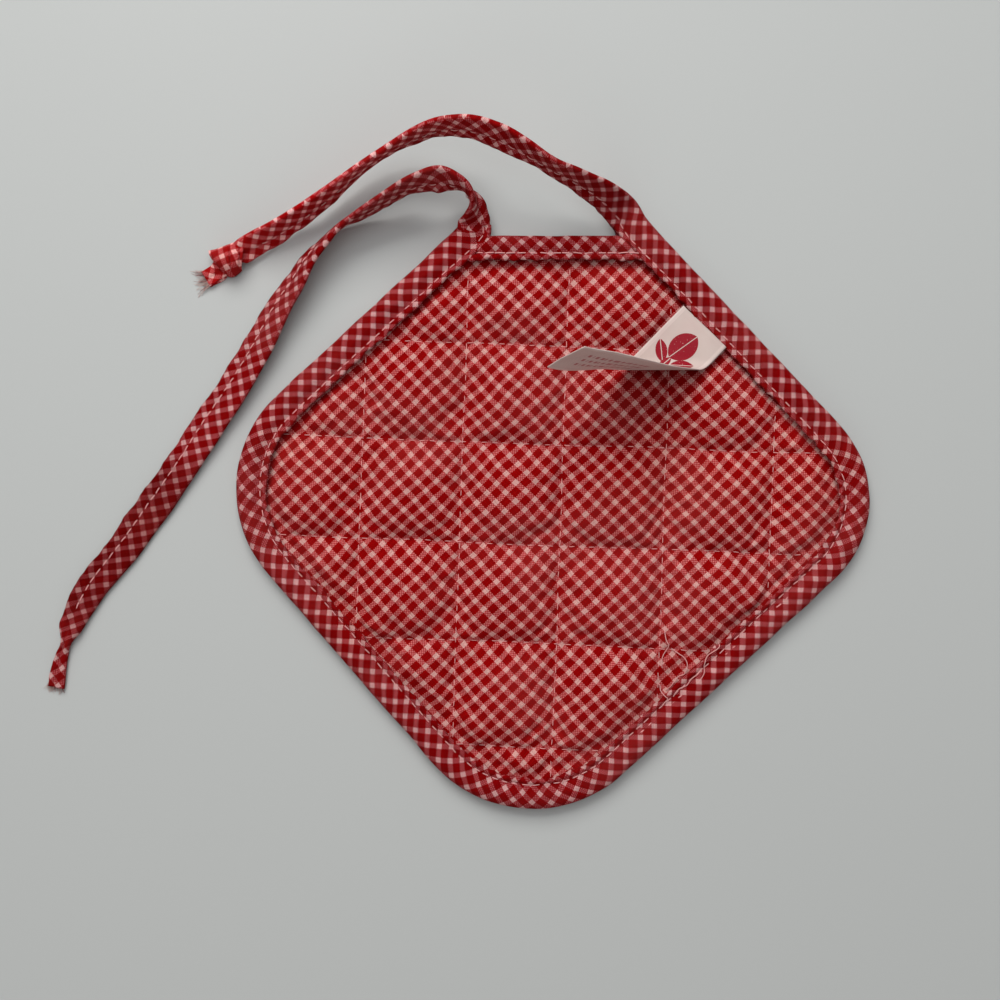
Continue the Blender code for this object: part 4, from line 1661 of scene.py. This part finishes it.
@dataclass
class NeckBinding:
    """Short strip folded over the neck edge, its ends under the side binding."""

    outline: Outline
    tape: EdgeTape
    width: float = 6.3 * MM
    thick: float = 4.6 * MM
    stitch_inset: float = 1.7 * MM
    tuck: float = 0.6 * MM
    span: float = 45 * MM
    fold: float = 2.1 * MM
    sections: int = 96
    stitch_pitch: float = 2.7 * MM

    def frame(self) -> tuple[float, list[tuple[float, float]], list[tuple[float, float]]]:
        """Top of the strip and the side binding's edges that bound it."""
        top = self.outline.centre[1] + self.outline.sides[0].distance
        return top, self.tape.open_edge(-1), self.tape.open_edge(1)

    @staticmethod
    def edge_x(points: Sequence[tuple[float, float]], y: float) -> float:
        """Place of an edge at a height."""
        return float(np.interp(y, [p[1] for p in points], [p[0] for p in points]))

    def surface(self, t: float, d: float, face: Face) -> tuple[float, float]:
        """Place on the strip: distance below the neck edge and height over its middle.

        Args:
            t: Place along the strip, from 0 to 1.
            d: Distance from the fold.
            face: Which face.

        Returns:
            The distance and the height.
        """
        run = t * self.span
        seam = self.width - self.stitch_inset
        lip = min(max((d - seam) / self.stitch_inset, 0.0), 1.0)
        body = math.sin(math.pi * min(max(d / seam, 0.0), 1.0))
        between = math.sin(math.pi * run / self.stitch_pitch) ** 2
        half = self.thick / 2
        if d < self.fold:
            height = half * math.sqrt(max(0.0, 1 - (1 - d / self.fold) ** 2)) * 0.97
        else:
            height = half * eased(((self.fold, 0.97), (2.6 * MM, 1.0), (seam, 0.78),
                                   (self.width - 0.4 * self.stitch_inset, 0.90),
                                   (self.width, 0.74)), d)
        height += body * 0.30 * MM * ripple(run, d, 5.0 * MM, 41)
        height += lip * (0.28 * between - 0.05) * MM
        height -= math.exp(-((d - seam) / (0.4 * MM)) ** 2) * (1 - between) * 0.25 * MM
        down = d + lip * 0.5 * MM * (ripple(run, 0.0, 4.0 * MM, 43) + 0.6 * between - 0.3)
        down += (1 - min(d / (1.5 * MM), 1.0)) * 0.25 * MM * ripple(run, 0.0, 8.0 * MM, 44)
        return down, height * face.value

    def build(self, material: bpy.types.Material) -> bpy.types.Object:
        """Make the strip and dress it.

        Args:
            material: The tape's gingham.

        Returns:
            The strip.
        """
        top, left, right = self.frame()
        section = self.tape.section
        steps = section.distances(self.width, self.thick)
        rings, marks = [], []
        for i in range(self.sections + 1):
            t = i / self.sections
            outer = around_fold(*(
                [(self.surface(t, d, face), d * face.value) for d in steps] for face in Face
            ))
            inner = []
            for (down, height), d in reversed(outer):
                left_over = max(abs(height) - section.wall, 0.05 * MM) * (1 if height > 0 else -1)
                level = 0.0 if abs(d) < 1e-9 else left_over
                inner.append(((max(down, section.wall), level), d))
            ring, mark = [], []
            for (down, height), d in outer + inner:
                y = top - down
                x_left = self.edge_x(left, y) - self.tuck
                x_right = self.edge_x(right, y) + self.tuck
                x = x_left + (x_right - x_left) * t
                z = max(self.thick / 2 + height, 0.0)
                ring.append(Vector((x, y, z)))
                mark.append((x, d + 0.4 * MM))
            rings.append(ring)
            marks.append(mark)
        strip = link_object("neck_binding_cloth", loft("neck_binding_cloth", rings, marks))
        dress(strip, Slot.TAPE, material)
        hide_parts("neck_binding")
        return strip

    def stitch_paths(self) -> list[Path3D]:
        """Topstitching on both faces of the strip."""
        top, left, right = self.frame()
        d = self.width - self.stitch_inset
        paths = []
        for face in Face:
            points = []
            for i in range(61):
                t = i / 60
                down, height = self.surface(t, d, face)
                y = top - down + 0.12 * MM * ripple(t * self.span, 0.0, 9 * MM, 47)
                x_left = self.edge_x(left, y)
                x_right = self.edge_x(right, y)
                z = self.thick / 2 + face.value * (abs(height) + 0.12 * MM)
                points.append(Vector((x_left + (x_right - x_left) * t, y, z)))
            paths.append(Path3D(points, [Vector((0, 0, face.value))] * len(points)))
        return paths


# ---------------------------------------------------------------- label


@dataclass
class RibbonLabel:
    """Satin ribbon that lies a little way over the pad and then stands up."""

    start: tuple[float, float] = (47.0 * MM, 41.7 * MM)
    along: tuple[float, float] = (-0.699, -0.715)
    width: float = 15.0 * MM
    length: float = 48.0 * MM
    wall: float = 0.22 * MM
    base: float = 5.6 * MM
    crease: float = 34.0 * MM
    bend: float = 3.0 * MM
    lean: float = 96.0
    tuck: float = 0.8 * MM
    drift: tuple[tuple[float, float], ...] = ((26 * MM, 0.0), (48 * MM, 1.0))
    divisions: tuple[int, int] = (96, 30)

    def place(self, along: float, across: float) -> Vector:
        """Place of a point of the label: flat over the pad, then up round the crease.

        Args:
            along: Distance from the binding.
            across: Distance from the ribbon's middle.

        Returns:
            The point.
        """
        ahead = Vector(self.along)
        side = Vector((-ahead.y, ahead.x))
        flat = Vector(self.start) + ahead * along + side * across
        base = self.base + 0.5 * MM * ripple(along, across, 9 * MM, 51)
        base -= 1.5 * MM * math.exp(-max(along, 0.0) / (2.2 * MM))
        far = eased(self.drift, along)
        share = across / (self.width / 2)
        flat_end = flat + far * Vector((-2.15 - 1.35 * share, -1.45 + 0.95 * share)) * MM
        past = self.crease - flat.y
        if past <= 0:
            return Vector((flat.x, flat.y, base))
        lean = math.radians(self.lean)
        arc = min(past, self.bend * lean)
        angle = arc / self.bend
        rest = past - arc
        belly = 0.8 * MM * math.sin(min(rest / (20 * MM), 1.0) * math.pi)
        y = self.crease - self.bend * math.sin(angle) - rest * math.cos(angle) - belly
        z = base + self.bend * (1 - math.cos(angle)) + rest * math.sin(angle)
        return Vector((flat_end.x, y + flat_end.y - flat.y, z))

    def build(self, material: bpy.types.Material) -> bpy.types.Object:
        """Make the label and dress it.

        Args:
            material: The label's satin.

        Returns:
            The label.
        """
        rows, marks = [], []
        high, wide = self.divisions
        for i in range(high + 1):
            along = -self.tuck + (self.length + self.tuck) * i / high
            row, mark = [], []
            for j in range(wide + 1):
                across = self.width * (j / wide - 0.5)
                row.append(self.place(along, across))
                mark.append((across, along))
            rows.append(row)
            marks.append(mark)
        mesh = thin_sheet("ribbon_label", rows, marks, self.wall)
        label = link_object("ribbon_label", mesh)
        dress(label, Slot.SATIN, material)
        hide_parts("label")
        return label


# ---------------------------------------------------------------- knot, frays and threads


@dataclass(frozen=True)
class TieKnot:
    """Knot near the end of the upper tie: a flattened band folded over the tie.

    The band lies across the tie; its far fold makes a corner that stands off the table.
    """

    # x and y of the upper and lower silhouette, height of the crown, bow along the tie, in mm
    sections: tuple[tuple[float, float, float, float, float, float], ...] = (
        (-77.2, 61.4, -74.9, 57.9, 3.3, -0.2),
        (-75.6, 62.0, -74.0, 56.7, 4.6, -0.2),
        (-74.0, 62.6, -73.1, 55.9, 5.2, 0.0),
        (-72.4, 63.2, -72.2, 55.4, 5.4, 0.3),
        (-70.9, 63.7, -71.2, 55.5, 5.4, 0.6),
        (-69.8, 63.6, -70.3, 56.1, 5.1, 0.9),
        (-68.9, 63.0, -69.3, 57.0, 4.6, 1.1),
    )
    axis: float = 33.0
    edge: float = 0.7 * MM
    tip: float = 1.6 * MM
    wall: float = 0.5 * MM
    creases: tuple[float, ...] = (3.1, 4.9)
    grain: float = 25.0
    gathered: float = 1.1
    spacing: float = 0.16  # between sections, in mm
    half_points: int = 13

    def build(self, material: bpy.types.Material) -> bpy.types.Object:
        """Make the knot and dress it.

        Args:
            material: The tape's gingham.

        Returns:
            The knot.
        """
        ahead = direction(self.axis).to_3d()
        turned = Matrix.Rotation(math.radians(self.grain), 2)
        rows, marks = [], []
        places = [row[0] for row in self.sections]
        for section in smooth_route(self.sections, self.spacing):
            upper, lower = Vector((*section[0:2], 0.0)) * MM, Vector((*section[2:4], 0.0)) * MM
            crown, bow = section[4] * MM, section[5] * MM
            along = float(np.interp(section[0], places, range(len(places))))
            row, mark = [], []
            for j in range(2 * self.half_points + 1):
                v = -1.0 + j / self.half_points
                place = upper.lerp(lower, (v + 1) / 2) + ahead * bow * (1 - v * v)
                arch = max(0.0, 1 - abs(v) ** 2.4) ** 0.62
                lifted = self.tip * max(0.0, 1 - along) * max(0.0, -v) ** 2
                place.z = self.edge + lifted + (crown - self.edge) * arch
                for crease in self.creases:
                    off = along - crease - 0.25 * v
                    place.z += 0.24 * MM * arch * math.exp(-(off / 0.16) ** 2)
                    place.z -= 0.34 * MM * arch * math.exp(-((off - 0.40) / 0.18) ** 2)
                flat = turned @ Vector((place.x, place.y)) * self.gathered
                row.append(place)
                mark.append((flat.x, flat.y))
            rows.append(row)
            marks.append(mark)
        knot = link_object("tie_knot", thin_sheet("tie_knot", rows, marks, self.wall))
        dress(knot, Slot.TAPE, material)
        return knot


@dataclass
class FrayedEnd:
    """Loose yarns at a raw tape end."""

    name: str
    place: Point
    heading: float
    width: float
    reach: float
    count: int
    seed: int
    spread: float
    steps: int = 7
    held: float = 0.8 * MM

    def paths(self, share: float, salt: int) -> list[Path3D]:
        """Routes of some yarns.

        Args:
            share: Part of the yarns to route.
            salt: Added to the seed.

        Returns:
            One path a yarn.
        """
        chance = random.Random(self.seed + salt)
        middle = Vector(self.place)
        ahead = direction(self.heading)
        side = Vector((-ahead.y, ahead.x))
        paths = []
        for _ in range(round(self.count * share)):
            offset = chance.uniform(-0.5, 0.5)
            long = self.reach * chance.uniform(0.35, 1.0) ** 1.3
            turn = math.radians(chance.gauss(offset * self.spread * 1.6, self.spread * 0.5))
            bend = math.radians(chance.uniform(-55, 55))
            z = middle.z + chance.uniform(-0.3, 0.35) * MM
            point = Vector((middle.x, middle.y)) + side * offset * self.width - ahead * self.held
            points = []
            for step in range(self.steps + 1):
                t = step / self.steps
                points.append(Vector((point.x, point.y, max(z * (1 - t ** 1.5), 0.06 * MM))))
                way = Matrix.Rotation(turn + bend * t * t, 2) @ ahead
                point = point + way * (long + self.held) / self.steps
            paths.append(Path3D(points, [Vector((0, 0, 1))] * len(points)))
        return paths


FRAYED_ENDS: tuple[FrayedEnd, ...] = (
    FrayedEnd("upper_fray", (-78.0 * MM, 54.9 * MM, 0.9 * MM), 197.0, 3.9 * MM, 4.2 * MM,
              60, 11, 15.0),
    FrayedEnd("lower_fray", (-116.4 * MM, -48.3 * MM, 0.75 * MM), 254.0, 3.8 * MM, 2.4 * MM,
              60, 12, 14.0),
)

TAPE_SHADE_AND_PALE_END: tuple[Stretch, ...] = (
    # Painted shade: the middle of the lower tie made darker, where it lies in shade.
    Stretch(0.643, 0.707, 14 * MM, (0.60, 0.46, 0.46, 1.0)),
    Stretch(-0.2, 0.11, 70 * MM, (1.65, 1.65, 1.65, 1.0)),
)
KNOT_WEAR: tuple[Stretch, ...] = (Stretch(-0.2, 0.2, 10 * MM, (1.5, 1.4, 1.4, 1.0)),)

LOOSE_THREADS: tuple[tuple[Point, ...], ...] = (
    # x, y and height over the cloth, in mm
    ((39.4, -38.7, 0.1), (41.1, -39.9, 0.5), (42.6, -41.0, 0.7), (43.4, -42.7, 0.8),
     (42.8, -44.7, 0.6), (42.6, -45.2, 0.4), (41.1, -45.8, 0.5), (40.0, -47.1, 0.5),
     (39.2, -48.3, 0.3), (38.0, -49.3, 0.1)),
    ((51.2, -37.0, 0.1), (50.9, -38.3, 0.4), (48.8, -39.7, 0.5), (47.8, -40.8, 0.5),
     (47.3, -42.7, 0.6), (47.3, -44.7, 0.3), (45.7, -47.1, 0.1)),
    ((47.0, -43.5, 0.0), (45.7, -45.0, 0.3), (44.2, -46.0, 0.6), (43.0, -47.7, 0.4),
     (41.3, -48.5, 0.3), (40.3, -49.4, 0.3), (39.7, -50.6, 0.0)),
    ((35.9, -47.5, 0.2), (36.5, -47.9, 0.4), (36.7, -49.4, 0.5), (37.7, -50.6, 0.4),
     (38.2, -51.2, 0.3), (36.9, -52.7, 0.1)),
    ((37.7, -33.2, 0.0), (37.7, -34.7, 0.2), (38.0, -36.6, 0.5), (38.6, -38.0, 0.6),
     (37.3, -40.4, 0.4), (36.9, -42.0, 0.3), (37.1, -43.5, 0.1)),
)


def loose_thread_paths(cloth: BVHTree) -> list[Path3D]:
    """Unpicked ends of sewing thread that lie over the lower right binding.

    Args:
        cloth: Surface of the pad and the tape.

    Returns:
        One path a thread.
    """
    paths = []
    for route in LOOSE_THREADS:
        points = []
        for x, y, lift in smooth_route(route, 0.35):
            points.append(on_cloth(cloth, x * MM, y * MM, Face.FRONT, 0.12 * MM + lift * MM))
        for _ in range(4):
            heights = [point.z for point in points]
            for i in range(1, len(points) - 1):
                points[i].z = max(heights[i], (heights[i - 1] + heights[i + 1]) / 2)
        paths.append(Path3D(points, [Vector((0, 0, 1))] * len(points)))
    return paths


# ---------------------------------------------------------------- studio


class Lamp(NamedTuple):
    """A soft rectangular light: where it stands, where it points, its size, watts and colour."""

    name: str
    place: Point
    aim: Point
    width: float
    height: float
    power: float
    colour: Point


LAMPS: tuple[Lamp, ...] = (
    Lamp("window", (-0.20, 0.85, 0.80), (0.0, 0.0, 0.0), 0.85, 0.60, 11.6, (1.0, 0.99, 0.97)),
    Lamp("overhead", (-0.05, 0.25, 0.70), (0.0, 0.03, 0.0), 0.6, 0.6, 1.9, (0.98, 0.99, 1.0)),
    Lamp("wall", (-0.15, -0.75, 0.33), (0.0, 0.05, 0.0), 0.9, 0.5, 1.2, (1.0, 0.93, 0.88)),
)


@dataclass
class Studio:
    """Plain floor, soft lights and the camera, straight above the pot holder."""

    camera_height: float = 0.32
    camera_x: float = -3.81 * MM
    camera_y: float = -1.27 * MM
    view: float = 0.127  # half of what the camera sees across, on the table
    floor_half: float = 1.5
    floor_drop: float = 0.05 * MM
    sky: Colour = (0.95, 0.98, 1.0, 1.0)
    sky_strength: float = 0.24

    def build(self, finishes: Finishes) -> None:
        """Make the floor, the lights, the world and the camera.

        Args:
            finishes: Holder of the shared groups.
        """
        bm = bmesh.new()
        bmesh.ops.create_grid(bm, x_segments=1, y_segments=1, size=self.floor_half)
        floor = link_object("studio_floor", mesh_from("studio_floor", bm))
        floor.data.materials.append(PaleTable().material(finishes))
        floor.location.z = -self.floor_drop
        for lamp in LAMPS:
            self.light(lamp)
        world = bpy.data.worlds.new("studio")
        world.use_nodes = True
        backdrop = world.node_tree.nodes["Background"]
        backdrop.inputs["Color"].default_value = self.sky
        backdrop.inputs["Strength"].default_value = self.sky_strength
        scene = bpy.context.scene
        scene.world = world
        scene.view_settings.view_transform = "Standard"
        data = bpy.data.cameras.new("camera")
        data.angle = 2 * math.atan(self.view / self.camera_height)
        data.clip_start = 0.01
        camera = bpy.data.objects.new("camera", data)
        camera.location = (self.camera_x, self.camera_y, self.camera_height)
        scene.collection.objects.link(camera)
        scene.camera = camera

    @staticmethod
    def light(lamp: Lamp) -> None:
        """Add one of the lights."""
        data = bpy.data.lights.new(lamp.name, "AREA")
        data.shape = "RECTANGLE"
        data.size, data.size_y = lamp.width, lamp.height
        data.energy = lamp.power
        data.color = lamp.colour
        light = bpy.data.objects.new(lamp.name, data)
        light.location = lamp.place
        aim = Vector(lamp.aim) - Vector(lamp.place)
        light.rotation_euler = aim.to_track_quat("-Z", "Y").to_euler()
        bpy.context.scene.collection.objects.link(light)


# ---------------------------------------------------------------- sewing


@dataclass
class Sewing:
    """All stitches, laid by one Geometry Nodes tree."""

    stitches: bpy.types.NodeTree
    thread: bpy.types.Material

    def row(self, name: str, paths: Sequence[Path3D], slot: Slot,
            **values: object) -> bpy.types.Object:
        """Lay stitches along some paths.

        Args:
            name: The piece's name.
            paths: The paths.
            slot: The piece's slot; not used.
            **values: Inputs of the tree, with underscores for spaces.

        Returns:
            The stitches.
        """
        inputs = {key.replace("_", " "): value for key, value in values.items()}
        inputs["Material"] = self.thread
        piece = grow(name, guide_mesh(name, paths), self.stitches, inputs)
        dress(piece, slot, self.thread)
        return piece


def main() -> None:
    """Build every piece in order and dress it."""
    logging.basicConfig(level=logging.INFO, format="%(name)s %(message)s", stream=sys.stdout)
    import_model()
    finishes = Finishes()
    Studio().build(finishes)
    outline = Outline()
    pad_cotton = CheckedCotton("pad_gingham", 45.0, 133.5).material(finishes)
    bias_cotton = CheckedCotton(
        "bias_gingham", 45.0, -46.0, wander=0.25 * MM, red=(0.19, 0.0004, 0.0010, 1.0),
        red_on_white=(0.23, 0.004, 0.007, 1.0), white_on_red=(0.36, 0.075, 0.08, 1.0),
        white=(0.54, 0.28, 0.27, 1.0),
    )
    strip_cotton = bias_cotton.material(finishes)
    tape_cotton = replace(bias_cotton, name="tape_gingham", stretches=TAPE_SHADE_AND_PALE_END).material(finishes)
    knot_cotton = replace(bias_cotton, name="knot_gingham", stretches=KNOT_WEAR).material(finishes)
    thread = SpunThread("pink_thread", (0.80, 0.38, 0.37, 1.0)).material(finishes)
    satin = PrintedSatin().material(finishes)

    pad = QuiltedPad(outline)
    pad_piece = pad.build(pad_cotton)
    tape = EdgeTape(outline, TapeSection())
    tape_piece = tape.build(tape_cotton)
    neck = NeckBinding(outline, tape)
    neck.build(strip_cotton)
    RibbonLabel().build(satin)

    sewing = Sewing(StitchTree().tree, thread)
    sewing.row("quilting_stitches", pad.seams(surface_of(pad_piece)), Slot.GINGHAM,
               Pitch=pad.stitch_pitch, Length=2.0 * MM, Radius=0.10 * MM, Arch=0.16 * MM,
               Sink=0.20 * MM, Seed=3)
    tape_stitches = sewing.row("tape_topstitching", tape.stitch_paths(), Slot.TAPE,
                               Pitch=tape.stitch_pitch, Length=1.9 * MM, Radius=0.13 * MM,
                               Arch=0.12 * MM, Sink=0.25 * MM, Seed=5)
    sewing.row("neck_topstitching", neck.stitch_paths(), Slot.TAPE, Pitch=neck.stitch_pitch,
               Length=2.5 * MM, Radius=0.15 * MM, Arch=0.12 * MM, Sink=0.2 * MM, Seed=8)
    extras = [tape_stitches, TieKnot().build(knot_cotton)]
    threads = ThreadTree().tree
    red_yarn = SpunThread("red_yarn", (0.25, 0.01, 0.012, 1.0)).material(finishes)
    pale_yarn = SpunThread("pale_yarn", (0.60, 0.38, 0.33, 1.0)).material(finishes)
    yarns = (("pale", pale_yarn, 0.75, 0), ("red", red_yarn, 0.25, 100))
    for end in FRAYED_ENDS:
        for colour, yarn, share, salt in yarns:
            name = f"{end.name}_{colour}"
            piece = grow(name, guide_mesh(name, end.paths(share, salt)), threads,
                         {"Radius": 0.06 * MM, "Tip": 0.5, "Sides": 4, "Material": yarn})
            dress(piece, Slot.TAPE, yarn)
            extras.append(piece)
    lying = loose_thread_paths(surface_of(pad_piece, tape_piece))
    loose = grow("loose_threads", guide_mesh("loose_threads", lying), threads,
                 {"Radius": 0.11 * MM, "Tip": 0.9, "Sides": 6, "Material": thread})
    dress(loose, Slot.TAPE, thread)


if __name__ == "__main__":
    main()
